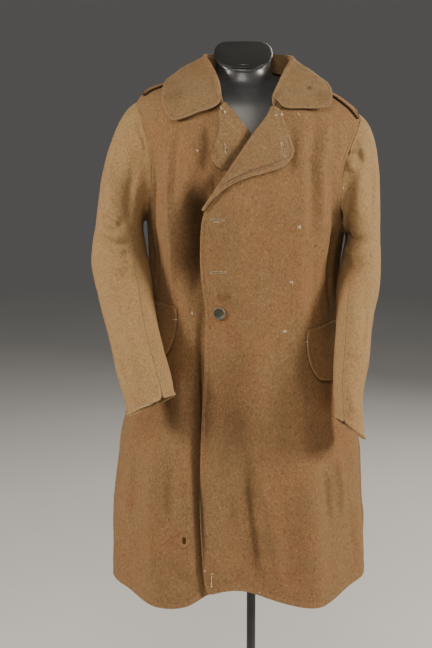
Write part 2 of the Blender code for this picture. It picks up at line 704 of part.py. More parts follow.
# moves points that come too near a sheet straight out from it
def cleared(points, least, reach, tree=body_tree):
    moved = points.reshape(-1, 3).copy()
    for i, point in enumerate(moved):
        spot, facing, _, gap = tree.find_nearest(Vector(point))
        facing = np.array(facing)
        out = (point - np.array(spot)) @ facing
        aside = max(gap * gap - out * out, 0) ** 0.5
        if aside < 0.003 and -reach < out < least:
            moved[i] = point + facing * (least - out)
    return moved.reshape(points.shape)


# keeps points at least this far outside a sheet
def lifted(points, least, tree=body_tree):
    moved = points.reshape(-1, 3).copy()
    for i, point in enumerate(moved):
        for _ in range(4):
            spot, facing, _, gap = tree.find_nearest(Vector(point))
            spot = np.array(spot)
            facing = np.array(facing)
            outside = (point - spot) @ facing >= 0
            if outside and gap >= least:
                break
            point = spot + facing * (least + 0.0001)
        moved[i] = point
    return moved.reshape(points.shape)


# lifts a sheet so that the middles of its edges and faces keep the distance too
def lifted_between(points, least, tree=body_tree):
    moved = lifted(points, least, tree)
    for _ in range(3):
        for one, other in (
            (np.s_[:-1, :], np.s_[1:, :]),
            (np.s_[:, :-1], np.s_[:, 1:]),
            (np.s_[:-1, :-1], np.s_[1:, 1:]),
            (np.s_[1:, :-1], np.s_[:-1, 1:]),
        ):
            middles = 0.5 * (moved[one] + moved[other])
            more = lifted(middles, least, tree) - middles
            moved[one] += more
            moved[other] += more
    return moved


# sleeves
def sleeve(side, table):
    left = side == "left"
    hand = 1 if left else -1
    front_grid = left_middle if left else right_middle
    front_norm = left_out if left else right_out
    col = -1 if left else 0
    fore = front_grid[LOWER_ROWS:, col]
    fore_out = front_norm[LOWER_ROWS:, col]
    col = 0 if left else -1
    hind = back_middle[LOWER_ROWS:, col]
    hind_out = back_out[LOWER_ROWS:, col]
    loop = np.concatenate((fore[::-1], hind[1:-1]))
    out = unit(np.concatenate((fore_out[::-1], hind_out[1:-1])))
    count = len(loop)
    along = unit(np.roll(loop, -1, axis=0) - np.roll(loop, 1, axis=0))
    away = unit(np.cross(along, out))
    middle = loop.mean(axis=0)
    if np.sum((loop + away * 0.01 - middle) ** 2) > np.sum((loop - away * 0.01 - middle) ** 2):
        away = -away
    # theta: 0 outer, 90 front, 180 inner, 270 back
    theta = np.arange(count) * 2 * np.pi / count
    inward = np.clip(-np.cos(theta), 0, 1) ** 2
    rake = np.radians(HEAD_RAKE + UNDERARM_RAKE * inward)[:, None]
    start_dir = away * np.cos(rake) + out * np.sin(rake)
    outward = np.array((hand, 0.0, 0.0))
    full = np.clip(np.cos(theta), 0, 1)[:, None] ** 2
    start_dir = unit(start_dir + outward * (HEAD_OUTWARD + HEAD_FULL * full))
    start_pull = np.interp(np.cos(theta), (-1, 0, 1), HEAD_PULL)[:, None]
    end_pull = np.interp(np.cos(theta), (-1, 0, 1), ARM_PULL)[:, None]
    rows = np.column_stack((np.arange(len(table)), np.array(table, float)))
    at = np.linspace(0, len(table) - 1, ARM_ROWS + 1)
    rings = []
    for x, y, z, half, deep, tilt, pitch in track(rows, at):
        tilt = np.radians(tilt)
        pitch = np.radians(pitch)
        outer = np.array((hand * np.cos(tilt), 0, np.sin(tilt)))
        fore_dir = np.array((0, -np.cos(pitch), np.sin(pitch)))
        ring = np.array((x, y, z)) + half * np.cos(theta)[:, None] * outer
        rings.append(ring + deep * np.sin(theta)[:, None] * fore_dir)
    axis = unit(np.array(ARM_HANG))
    first = loop + away * (SEAT + UNDERARM_GAP * inward[:, None])
    tube = [first]
    for t in np.linspace(0, 1, HEAD_ROWS + 1)[1:-1]:
        point = first * (2 * t**3 - 3 * t**2 + 1) + start_dir * start_pull * (t**3 - 2 * t**2 + t)
        point = point + rings[0] * (3 * t**2 - 2 * t**3) + axis * end_pull * (t**3 - t**2)
        tube.append(point)
    tube = np.array(tube + rings)
    under = np.cos(theta) < 0.3
    tube[HEAD_FREE:, under] = cleared(tube[HEAD_FREE:, under], ARM_CLEAR, 0.008)
    normals = grid_normals(tube, wrap=True)
    centre = tube.mean(axis=1, keepdims=True)
    if np.sum((tube - centre) * normals) < 0:
        normals = -normals
    normals[0] = out
    normals[1] = unit(normals[1] * 0.6 + out * 0.4)
    outer = tube + normals * WALL / 2
    inner = tube - normals * WALL / 2
    parts = (
        ("top_sleeve_" + side, np.arange(BACK_SEAM_AT, FRONT_SEAM_AT + count + 1) % count),
        ("under_sleeve_" + side, np.arange(FRONT_SEAM_AT, BACK_SEAM_AT + 1)),
    )
    made = []
    for name, cols in parts:
        a = drawn_in(outer[:, cols], 3 * SEAM, "lr")
        b = drawn_in(inner[:, cols], 3 * SEAM, "lr")
        a = a[::-1] if left else a[::-1, ::-1]
        b = b[::-1] if left else b[::-1, ::-1]
        made.append(add_wall(name, a, b, SLEEVE_CLOTH))
    return tube, normals, made


right_tube, right_tube_out, right_sleeve_parts = sleeve("right", RIGHT_SLEEVE)
left_tube, left_tube_out, left_sleeve_parts = sleeve("left", LEFT_SLEEVE)


# distance from a sheet to the nearest of its points that lies over another sheet
def least_gap(low, tree, parts=4):
    least = 1.0
    steps = np.linspace(0, 1, parts + 1)
    for r in range(low.shape[0] - 1):
        for c in range(low.shape[1] - 1):
            for u in steps:
                for v in steps:
                    a = low[r, c] * (1 - u) + low[r, c + 1] * u
                    b = low[r + 1, c] * (1 - u) + low[r + 1, c + 1] * u
                    point = a * (1 - v) + b * v
                    spot, facing, _, gap = tree.find_nearest(Vector(point))
                    if (point - np.array(spot)) @ np.array(facing) < 0:
                        gap = -gap
                    least = min(least, gap)
    return least


# collar, in one piece: the stand rises from the neck seam, turns, and falls as a leaf
neck_front_r = right_middle[LOWER_ROWS + ROLL_ROWS:, -1]
neck_front_r_out = right_out[LOWER_ROWS + ROLL_ROWS:, -1]
neck_back = back_middle[-1, SHOULDER_COLS:SHOULDER_COLS + NECK_COLS + 1][::-1]
neck_back_out = back_out[-1, SHOULDER_COLS:SHOULDER_COLS + NECK_COLS + 1][::-1]
neck_front_l = left_middle[LOWER_ROWS + ROLL_ROWS:, 0][::-1]
neck_front_l_out = left_out[LOWER_ROWS + ROLL_ROWS:, 0][::-1]
neck_loop = np.concatenate((neck_front_r, neck_back[1:-1], neck_front_l))
neck_out = np.concatenate((neck_front_r_out, neck_back_out[1:-1], neck_front_l_out))


def doubled(line):
    middles = 0.5 * (line[1:] + line[:-1])
    both = np.empty((2 * len(line) - 1, line.shape[1]))
    both[::2] = line
    both[1::2] = middles
    return both


base = doubled(neck_loop)
base_out = unit(doubled(neck_out))
count = len(base)
base_along = unit(np.gradient(base, axis=0))
base_up = unit(np.cross(base_along, base_out))
if np.sum(base_up[:, 2]) < 0:
    base_up = -base_up
base_row = base + base_up * STAND_GAP
lines = track(COLLAR_LINES, np.linspace(0, COLLAR_LINES[-1][0], count))
fold = lines[:, :3]
edge = lines[:, 3:]
axis_point = np.array((NECK_MIDDLE, 0.0, 0.0))
outward = fold - axis_point
outward[:, 2] = 0
outward = unit(outward)
stand_rows = [base_row]
for t in (0.34, 0.68, 1.0):
    stand_rows.append(base_row + (fold - base_row) * t)
turn_rows = []
for degrees in (60, 120):
    lean = np.radians(degrees)
    turn_rows.append(fold + outward * COLLAR_TURN * (1 - np.cos(lean))
                     + np.array((0, 0, 1.0)) * COLLAR_TURN * np.sin(lean))
leaf_top = fold + outward * COLLAR_TURN * 2
end_right = spaced(np.vstack((leaf_top[0], COLLAR_END_RIGHT[1:])), LEAF_ROWS + 1)
end_left = spaced(np.vstack((leaf_top[-1], COLLAR_END_LEFT[1:])), LEAF_ROWS + 1)
edge[0] = end_right[-1]
edge[-1] = end_left[-1]
down = np.linspace(0, 1, LEAF_ROWS + 1)[:, None, None]
leaf = leaf_top[None] * (1 - down) + edge[None] * down
round_collar = np.linspace(0, 1, count)[None, :, None]
leaf = leaf + (end_right[:, None] - leaf[:, :1]) * (1 - round_collar) ** END_FADE
leaf = leaf + (end_left[:, None] - leaf[:, -1:]) * round_collar**END_FADE
bow = np.sin(np.pi * np.linspace(0, 1, LEAF_ROWS + 1))[:, None, None]
ends = np.sin(np.pi * np.linspace(0, 1, count))[None, :, None] ** 0.5
leaf = leaf + bow * ends * (outward[None] * LEAF_BOW_OUT + np.array((0, 0, LEAF_BOW_UP)))
leaf[1:] = lifted_between(leaf[1:], COLLAR_LIFT - WALL / 2)
collar_middle = np.concatenate((np.array(stand_rows), np.array(turn_rows), leaf))
collar_out = grid_normals(collar_middle)
collar_out[0] = base_out
if np.sum(collar_out[2] * outward) < 0:
    collar_out[1:] = -collar_out[1:]
collar_a = collar_middle + collar_out * WALL / 2
collar_b = collar_middle - collar_out * WALL / 2
collar_a[0] = base_row + base_out * WALL / 2
collar_b[0] = base_row - base_out * WALL / 2
collar = add_wall("collar", collar_a[:, ::-1], collar_b[:, ::-1], COLLAR_CLOTH)


# lapels: the cloth turns round the roll line and lies over the front
def lapel(name, roll, leaf_edge, shape, tree, columns):
    rows = len(roll)
    edge_rows = seam_line(leaf_edge, rows)
    steps = np.linspace(0, 1, columns) ** 0.9
    grid = across(roll, edge_rows, steps)
    spots = shape(grid[..., 0], grid[..., 1])
    spots[1:-1:2, 0] = 0.5 * (spots[0:-2:2, 0] + spots[2::2, 0])
    facing = normal_of(shape, grid[..., 0], grid[..., 1])
    rise = LAPEL_ROLL + LAPEL_BOW * np.sin(np.pi * steps) + LAPEL_STAND * steps
    flat = spots + facing * rise[None, :, None]
    flat[:, 1:] = lifted_between(flat[:, 1:], LAPEL_LIFT, tree)
    more = WALL / 2 + SEAT - least_gap(flat[:, 1:], tree)
    if more > 0:
        flat[:, 1:] += facing[:, 1:] * more
    roll_at = spots[:, 0]
    roll_out = facing[:, 0]
    along = unit(np.gradient(roll_at, axis=0))
    beyond = unit(np.cross(along, roll_out))
    toward = unit(spots[:, 1] - spots[:, 0])
    if np.sum(beyond * toward) > 0:
        beyond = -beyond
    turn = []
    for degrees in ROLL_TURN:
        lean = np.radians(degrees)
        turn.append(roll_at + LAPEL_ROLL * (np.cos(lean) * beyond + np.sin(lean) * roll_out))
    middle = np.concatenate((np.array(turn).transpose(1, 0, 2), flat), axis=1)
    out = grid_normals(middle)
    if np.sum(out[:, -3:] * facing[:, -3:]) < 0:
        out = -out
    outer = middle + out * WALL / 2
    inner = middle - out * WALL / 2
    if np.sum(np.cross(outer[0, 1] - outer[0, 0], outer[1, 0] - outer[0, 0]) * out[0, 0]) < 0:
        outer = outer[:, ::-1]
        inner = inner[:, ::-1]
    return add_wall(name, outer, inner, look=COLLAR_CLOTH), outer


left_roll_rows = doubled(roll_rows)
left_edge_rows = places(LAPEL_LEFT_EDGE)
lapel_left, lapel_left_top = lapel(
    "lapel_left", left_roll_rows[::-1], left_edge_rows, body, tree_of((front_left_outer,)), 8)
right_roll_rows = doubled(hidden_roll[3:])[::-1]
lapel_right, lapel_right_top = lapel(
    "lapel_right", right_roll_rows, places(LAPEL_RIGHT_EDGE), under_body,
    tree_of((front_right_outer,)), 6)


# a small sheet laid on the body: its grid of places, moved out
def laid(name, grid, thick, look, extra=0.0):
    spots = body(grid[..., 0], grid[..., 1])
    facing = normal_of(body, grid[..., 0], grid[..., 1])
    low = lifted(spots + facing * (WALL / 2 + SEAT), SEAT)
    low = low + facing * (SEAT - least_gap(low, body_tree))
    low = low + facing * np.asarray(extra)[..., None]
    return add_wall(name, low + facing * thick, low, look)


# pocket flaps, sewn on along the top and standing off a little below
def flap(name, front_edge, hand):
    edge_places = seam_line(places(front_edge), 8)[::-1]
    rows = len(edge_places)
    rear_angle = hand * FLAP_REAR_ANGLE
    rear_top = height_at(front_edge[0][1] + 0.006)
    rear_foot = height_at(front_edge[-1][1] - 0.012)
    rear = np.column_stack((np.full(rows, rear_angle), np.linspace(rear_foot, rear_top, rows)))
    steps = np.linspace(0, 1, 8)
    grid = across(edge_places, rear, steps)
    down = 1 - np.linspace(0, 1, rows)[:, None]
    flare = FLAP_FLARE * down**1.3 * (1 - 0.85 * steps[None, :])
    if hand < 0:
        grid = grid[:, ::-1]
        flare = flare[:, ::-1]
    return laid(name, grid, THIN, FRONT_CLOTH, flare)


flap_left = flap("pocket_flap_left", FLAP_LEFT, 1)
flap_right = flap("pocket_flap_right", FLAP_RIGHT, -1)


# shoulder straps, lying along the shoulder seams
whole_angles, whole_heights = np.meshgrid(np.linspace(0, 360, 121), np.linspace(1.1, 2.0, 50))
shoulder_tree = tree_of((
    body(whole_angles, whole_heights)
    + normal_of(body, whole_angles, whole_heights) * WALL / 2,
))


def strap(name, plan):
    head_x, foot_x, front_y, back_y = plan
    rows = 9
    cols = 5
    top = np.zeros((rows, cols, 3))
    for r, t in enumerate(np.linspace(0, 1, rows)):
        x = head_x + (foot_x - head_x) * t
        ease_in = 0.72 + 0.28 * t
        for c, u in enumerate(np.linspace(0, 1, cols)):
            middle = 0.5 * (front_y + back_y) * (0.4 + 0.6 * t)
            y = middle + (u - 0.5) * (back_y - front_y) * ease_in
            spot, _, _, _ = shoulder_tree.ray_cast(Vector((x, y, 2.0)), Vector((0, 0, -1.0)))
            top[r, c] = np.array(spot)
    facing = grid_normals(top)
    if np.sum(facing[..., 2]) < 0:
        facing = -facing
        flip = True
    else:
        flip = False
    low = lifted(top + facing * SEAT, SEAT)
    low = low + facing * (1.5 * SEAT - least_gap(low, body_tree))
    high = low + facing * THIN
    if flip:
        low = low[:, ::-1]
        high = high[:, ::-1]
    return add_wall(name, high, low, BODY_CLOTH)


strap_left = strap("shoulder_strap_left", STRAP_LEFT)
strap_right = strap("shoulder_strap_right", STRAP_RIGHT)

# button, turned, with a raised rim
bx, bz = BUTTON_AT
spot, facing, _, _ = body_tree.ray_cast(Vector((bx, -1.0, bz)), Vector((0, 1.0, 0)))
outline = [(r * BUTTON_RADIUS, t * BUTTON_THICK) for r, t in BUTTON_OUTLINE]


def turned(name, outline, look, steps=24, home=coat):
    mesh = bpy.data.meshes.new(name)
    verts = [(x, 0.0, z) for x, z in outline]
    mesh.from_pydata(verts, [(i, i + 1) for i in range(len(verts) - 1)], [])
    obj = bpy.data.objects.new(name, mesh)
    home.objects.link(obj)
    screw = obj.modifiers.new("turn", "SCREW")
    screw.steps = steps
    screw.render_steps = steps
    screw.use_merge_vertices = True
    screw.merge_threshold = 0.00001
    screw.use_normal_calculate = True
    screw.use_smooth_shade = True
    paint(obj, look)
    return obj


button = turned("button", outline, BUTTON_HORN)
button.location = spot + facing * (SEAT + 0.0002)
button.rotation_euler = facing.to_track_quat("Z", "Y").to_euler()

# dress form: body, shoulders seated just under the coat, and neck
inner_tree = tree_of((
    front_left_inner[:, ::-1], front_right_inner[:, ::-1], back_inner[:, ::-1],
))
form_angles = np.arange(FORM_ROUND) * 360.0 / FORM_ROUND
form_rings = []
rows = track(FORM_SECTIONS, np.linspace(FORM_SECTIONS[0][0], FORM_SECTIONS[-1][0], 10))
heights = np.linspace(FORM_SECTIONS[0][0], FORM_SECTIONS[-1][0], 10)
for z, (middle, half, front, back_reach) in zip(heights, rows):
    x, y = oval(form_angles, half, half, front, back_reach, 2.2)
    form_rings.append(np.column_stack((x + middle, y, np.full(FORM_ROUND, z))))
chest_ring = form_rings[-1]
first = form_rings[0]
middle = first.mean(axis=0)
foot_rings = []
for shrink, drop in FORM_FOOT:
    foot_rings.append(middle + (first - middle) * shrink + (0, 0, drop))
shoulder_rings = []
turn = np.radians(form_angles)
neck_x, neck_y = oval(
    form_angles, FORM_NECK_HALF, FORM_NECK_HALF, FORM_NECK_FRONT, FORM_NECK_BACK, 2.0)
for lean in FORM_LEANS:
    c = np.cos(np.radians(lean))
    s = np.sin(np.radians(lean))
    power = 2.0 + 2.6 * np.abs(np.sin(turn)) ** 3
    reach = (c**power + s**power) ** (1 / power)
    out = c / reach
    up = s / reach
    wide = 1 + FORM_WIDEN * np.abs(np.sin(turn)) ** 2 * up
    slope = FORM_SLOPE * np.abs(np.sin(turn)) ** 2
    top = FORM_SHOULDER_Z - 0.006 * np.cos(turn) + FORM_SIDE_RISE * np.sin(turn) ** 2
    x = chest_ring[:, 0] * wide * out + (FORM_NECK_X + neck_x) * (1 - out)
    y = chest_ring[:, 1] * out + (FORM_NECK_Y + neck_y) * (1 - out)
    z = chest_ring[:, 2] + (top - slope * out - chest_ring[:, 2]) * up
    shoulder_rings.append(np.column_stack((x, y, z)))


# keeps points of the form at least this far inside the coat
def tucked(points, least):
    moved = points.copy()
    for i, point in enumerate(moved):
        for _ in range(4):
            spot, facing, _, gap = inner_tree.find_nearest(Vector(point))
            spot = np.array(spot)
            facing = np.array(facing)
            inside = (point - spot) @ facing >= 0
            if inside and gap >= least:
                break
            point = spot + facing * (least + 0.00005)
        moved[i] = point
    return moved


# raises the tops of the form's shoulders until the coat rests on them
def seated(points, least, most):
    moved = points.copy()
    for i in np.flatnonzero(np.abs(np.sin(turn)) > SEAT_SIDES):
        spot, facing, _, gap = inner_tree.find_nearest(Vector(points[i]))
        if gap < most and points[i][1] > SEAT_FRONT:
            moved[i] = np.array(spot) + np.array(facing) * least
    return moved


shoulder_rings = [tucked(ring, FORM_GAP) for ring in shoulder_rings]
for i in SEAT_ROWS:
    shoulder_rings[i] = seated(shoulder_rings[i], FORM_GAP, SEAT_REACH)
neck_rings = []
for z, grow in FORM_NECK_ROWS:
    neck_rings.append(np.column_stack((
        FORM_NECK_X + neck_x * grow, FORM_NECK_Y + neck_y * grow, np.full(FORM_ROUND, z))))
top_square = np.where(np.cos(turn) >= 0, 2.2, 2.2 + 3.8 * np.cos(turn) ** 2)
top_x, top_y = oval(form_angles, FORM_NECK_HALF, FORM_NECK_HALF, 0.057, 0.050, top_square)
rim = NECK_TOP_Z + NECK_TILT * top_y
neck_rings.append(np.column_stack((FORM_NECK_X + top_x, FORM_NECK_Y + top_y, rim - 0.006)))
neck_rings.append(np.column_stack((FORM_NECK_X + top_x, FORM_NECK_Y + top_y, rim)))


# a closed body from rings of points, with flat ends
def add_lofted(name, rings, look):
    count = len(rings[0])
    verts = np.concatenate(rings)
    faces = []
    for r in range(len(rings) - 1):
        for c in range(count):
            d = (c + 1) % count
            a = r * count
            faces.append((a + c, a + d, a + count + d, a + count + c))
    foot = len(verts)
    head = foot + 1
    verts = np.vstack((verts, rings[0].mean(axis=0), rings[-1].mean(axis=0)))
    last = (len(rings) - 1) * count
    for c in range(count):
        d = (c + 1) % count
        faces.append((foot, d, c))
        faces.append((head, last + c, last + d))
    obj = add_object(name, verts, faces, look)
    return obj


form = add_lofted("dress_form", foot_rings + form_rings + shoulder_rings + neck_rings, FORM_SKIN)
cap_rings = []
for grow, rise in CAP_ROWS:
    cap_x = top_x * grow
    cap_y = top_y * grow
    cap_rings.append(np.column_stack((
        FORM_NECK_X + cap_x, FORM_NECK_Y + cap_y, NECK_TOP_Z + NECK_TILT * cap_y + rise)))
cap = add_lofted("neck_cap", cap_rings, FORM_CAP)

form_foot = foot_rings[0][:, 2].min()
bpy.ops.mesh.primitive_cylinder_add(
    vertices=24, radius=POLE_RADIUS, depth=form_foot - BOSS_TOP - 2 * SEAT,
    location=(0, 0, 0.5 * (form_foot + BOSS_TOP)))
pole = bpy.context.object
pole.name = "pole"
for face in pole.data.polygons:
    face.use_smooth = len(face.vertices) == 4
for home in list(pole.users_collection):
    home.objects.unlink(pole)
coat.objects.link(pole)
paint(pole, POLE_METAL)

base_outline = (
    (0.0, 0.0), (BASE_RADIUS - 0.002, 0.0), (BASE_RADIUS, 0.002),
    (BASE_RADIUS, BASE_THICK - 0.003), (BASE_RADIUS - 0.003, BASE_THICK), (0.024, BASE_THICK + 0.001),
    (0.019, BASE_THICK + 0.004), (0.017, BOSS_TOP - 0.004), (0.015, BOSS_TOP), (0.0, BOSS_TOP),
)
base_plate = turned("base_plate", base_outline, POLE_METAL, steps=40)

# moth hole near the hem of the inner front
hx, hz = HOLE_AT
under_tree = tree_of((front_right_outer,))
spot, facing, _, _ = under_tree.ray_cast(Vector((hx, -1.0, hz)), Vector((0, 1.0, 0)))
bpy.ops.mesh.primitive_cylinder_add(vertices=14, radius=HOLE_RADIUS, depth=0.03, location=spot)
cutter = bpy.context.object
cutter.name = "hole_cutter"
cutter.rotation_euler = facing.to_track_quat("Z", "Y").to_euler()
cutter.scale = (1.0, HOLE_LONG, 1.0)
cutter.hide_render = True
cutter.display_type = "WIRE"
for home in list(cutter.users_collection):
    home.objects.unlink(cutter)
cutters.objects.link(cutter)
cut = front_right.modifiers.new("moth hole", "BOOLEAN")
cut.operation = "DIFFERENCE"
cut.solver = "EXACT"
cut.object = cutter
print("greatcoat on form:", len(coat.objects), "pieces")
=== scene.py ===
import math
import random

import bmesh
import bpy
import numpy as np
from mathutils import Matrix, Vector, noise
from mathutils.bvhtree import BVHTree
from mathutils.kdtree import KDTree


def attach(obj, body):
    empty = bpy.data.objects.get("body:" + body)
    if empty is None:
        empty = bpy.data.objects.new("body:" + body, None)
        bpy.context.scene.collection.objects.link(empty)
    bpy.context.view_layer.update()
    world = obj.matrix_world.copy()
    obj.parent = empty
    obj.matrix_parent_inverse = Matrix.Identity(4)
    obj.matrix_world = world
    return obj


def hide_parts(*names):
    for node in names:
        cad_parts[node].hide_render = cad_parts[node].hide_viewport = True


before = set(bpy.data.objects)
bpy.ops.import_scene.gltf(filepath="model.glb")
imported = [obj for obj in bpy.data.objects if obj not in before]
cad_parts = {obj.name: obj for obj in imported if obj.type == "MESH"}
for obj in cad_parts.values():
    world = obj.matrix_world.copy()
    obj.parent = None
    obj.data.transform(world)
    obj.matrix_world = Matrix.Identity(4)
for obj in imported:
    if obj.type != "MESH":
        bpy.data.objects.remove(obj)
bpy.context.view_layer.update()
print("frame loaded:", len(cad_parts), "solids")

view = {
    "place": (-0.075, -3.0, 1.5),
    "aim": (-0.075, -0.1, 1.0),
    "pixel": 0.002,  # metres at the aim for one pixel of a 432 x 648 picture
    "wide": 432,
    "high": 648,
}
camPlace = Vector(view["place"])
camForward = (Vector(view["aim"]) - camPlace).normalized()
camRight = camForward.cross(Vector((0, 0, 1))).normalized()
camUp = camRight.cross(camForward)
aimFar = (Vector(view["aim"]) - camPlace).length


# direction from the camera through a place in the picture
def lineOfSight(px, py):
    across = (px - view["wide"] / 2) * view["pixel"] / aimFar
    up = (view["high"] / 2 - py) * view["pixel"] / aimFar
    return (camForward + camRight * across + camUp * up).normalized()


def only(obj):
    bpy.ops.object.select_all(action="DESELECT")
    obj.select_set(True)
    bpy.context.view_layer.objects.active = obj


def makeCamera():
    bpy.ops.object.camera_add(location=camPlace)
    cam = bpy.context.object
    cam.name = "camera"
    cam.rotation_euler = camForward.to_track_quat("-Z", "Y").to_euler()
    cam.data.sensor_fit = "VERTICAL"
    cam.data.angle = 2 * math.atan(view["high"] / 2 * view["pixel"] / aimFar)
    cam.data.clip_end = 60
    bpy.context.scene.camera = cam


lamps = {
    # name: place, aim, size in metres, watts
    "left softbox": ((-2.9, -1.3, 2.2), (0, -0.05, 1.05), 0.9, 100),
    "right softbox": ((2.9, -1.0, 2.1), (0, -0.05, 1.05), 0.9, 120),
    "top fill": ((-0.3, -2.9, 3.0), (0, 0.0, 1.15), 1.3, 42),
    "back glow": ((1.2, 2.6, 2.5), (0, 0.0, 1.0), 1.4, 58),
}
studio = {
    "lampColour": (1.0, 0.93, 0.82),
    "airColour": (0.88, 0.86, 0.82, 1),
    "air": 0.10,  # strength of the light from all round
}


def makeLamps():
    for name, (place, aim, size, watts) in lamps.items():
        bpy.ops.object.light_add(type="AREA", location=place)
        lamp = bpy.context.object
        lamp.name = name
        lamp.data.energy = watts
        lamp.data.size = size
        lamp.data.color = studio["lampColour"]
        lamp.rotation_euler = (Vector(aim) - Vector(place)).to_track_quat("-Z", "Y").to_euler()
    world = bpy.data.worlds.new("studio")
    bpy.context.scene.world = world
    world.use_nodes = True
    air = world.node_tree.nodes["Background"]
    air.inputs["Color"].default_value = studio["airColour"]
    air.inputs["Strength"].default_value = studio["air"]


# one material, with short ways to add to its nodes
class Finish:
    def __init__(self, name):
        self.material = bpy.data.materials.new(name)
        self.material.use_nodes = True
        self.nodes = self.material.node_tree.nodes
        self.links = self.material.node_tree.links
        self.shader = self.nodes["Principled BSDF"]
        self.place = self.add("ShaderNodeTexCoord").outputs["Object"]

    def add(self, kind, **settings):
        node = self.nodes.new(kind)
        for key, value in settings.items():
            setattr(node, key, value)
        return node

    def put(self, socket, value):
        if hasattr(value, "is_output"):
            self.links.new(value, socket)
        else:
            socket.default_value = value

    def noise(self, scale, detail=2.0, rough=0.5, stretch=(1, 1, 1), shift=(0, 0, 0), warp=0.0):
        mapping = self.add("ShaderNodeMapping")
        mapping.inputs["Scale"].default_value = stretch
        mapping.inputs["Location"].default_value = shift
        self.links.new(self.place, mapping.inputs["Vector"])
        node = self.add("ShaderNodeTexNoise")
        node.inputs["Scale"].default_value = scale
        node.inputs["Detail"].default_value = detail
        node.inputs["Roughness"].default_value = rough
        node.inputs["Distortion"].default_value = warp
        self.links.new(mapping.outputs["Vector"], node.inputs["Vector"])
        return node.outputs["Fac"]

    def ramp(self, value, low, high):
        node = self.add("ShaderNodeMapRange", interpolation_type="SMOOTHSTEP")
        node.inputs["From Min"].default_value = low
        node.inputs["From Max"].default_value = high
        self.put(node.inputs["Value"], value)
        return node.outputs["Result"]

    def sum(self, a, b, how="ADD"):
        node = self.add("ShaderNodeMath", operation=how)
        self.put(node.inputs[0], a)
        self.put(node.inputs[1], b)
        return node.outputs[0]

    def part(self, value, share):
        return self.sum(value, share, "MULTIPLY")

    def mix(self, factor, a, b):
        node = self.add("ShaderNodeMix", data_type="RGBA")
        self.put(node.inputs["Factor"], factor)
        for socket, value in ((node.inputs[6], a), (node.inputs[7], b)):
            self.put(socket, value if hasattr(value, "is_output") else (*value, 1))
        return node.outputs[2]

    def attribute(self, name):
        return self.add("ShaderNodeAttribute", attribute_name=name).outputs["Fac"]

    def near(self, spot, radius, soft=0.5):
        node = self.add("ShaderNodeVectorMath", operation="DISTANCE")
        self.links.new(self.place, node.inputs[0])
        node.inputs[1].default_value = spot
        return self.ramp(node.outputs["Value"], radius * (1 + soft), radius * (1 - soft))

    def bump(self, height, strength, distance, under=None):
        node = self.add("ShaderNodeBump")
        node.inputs["Strength"].default_value = strength
        node.inputs["Distance"].default_value = distance
        self.put(node.inputs["Height"], height)
        if under is not None:
            self.links.new(under, node.inputs["Normal"])
        return node.outputs["Normal"]


woolColours = {
    # cloth: middle tone, redder tone, olive tone, light fibre, dark fibre
    "body cloth": ((0.214, 0.112, 0.048), (0.224, 0.104, 0.044), (0.200, 0.118, 0.052),
                   (0.46, 0.31, 0.17), (0.040, 0.020, 0.010)),
    "front cloth": ((0.246, 0.132, 0.058), (0.256, 0.120, 0.053), (0.222, 0.134, 0.060),
                    (0.52, 0.35, 0.19), (0.046, 0.023, 0.011)),
    # the sleeve cloth is the front cloth painted lighter: painted light standing in for the stronger side
    # light on the sleeves
    "sleeve cloth": ((0.352, 0.210, 0.092), (0.352, 0.188, 0.082), (0.312, 0.208, 0.092),
                     (0.62, 0.45, 0.26), (0.084, 0.047, 0.021)),
    "collar cloth": ((0.240, 0.140, 0.066), (0.238, 0.124, 0.058), (0.216, 0.142, 0.068),
                     (0.50, 0.36, 0.21), (0.060, 0.034, 0.016)),
}
wool = {
    # scales of the patterns, from faded patches down to single fibres
    "patchScale": 7.0,
    "streakScale": 26.0,
    "rippleScale": 34.0,
    "mottleScale": 55.0,
    "darkMarksAndShadeScale": 90.0,
    "grainScale": 230.0,
    "fleckScale": 380.0,
    "fibreScale": 520.0,
    "napScale": 900.0,
    # how much of each is mixed in
    "mottle": 0.07,
    "lightFleck": 0.34,
    "darkFleck": 0.44,
    "grain": 0.16,
    "fibre": 0.3,
    "edgeWear": 0.17,
    # the surface
    "rough": 0.93,
    "specular": 0.12,
    "sheen": 0.10,
    "sheenRough": 0.45,
    "sheenTint": (0.85, 0.62, 0.38, 1),
    "nap": (0.75, 0.0016),      # strength and height
    "ripple": (0.30, 0.004),
    "hole": (0.012, 0.008, 0.005),
}


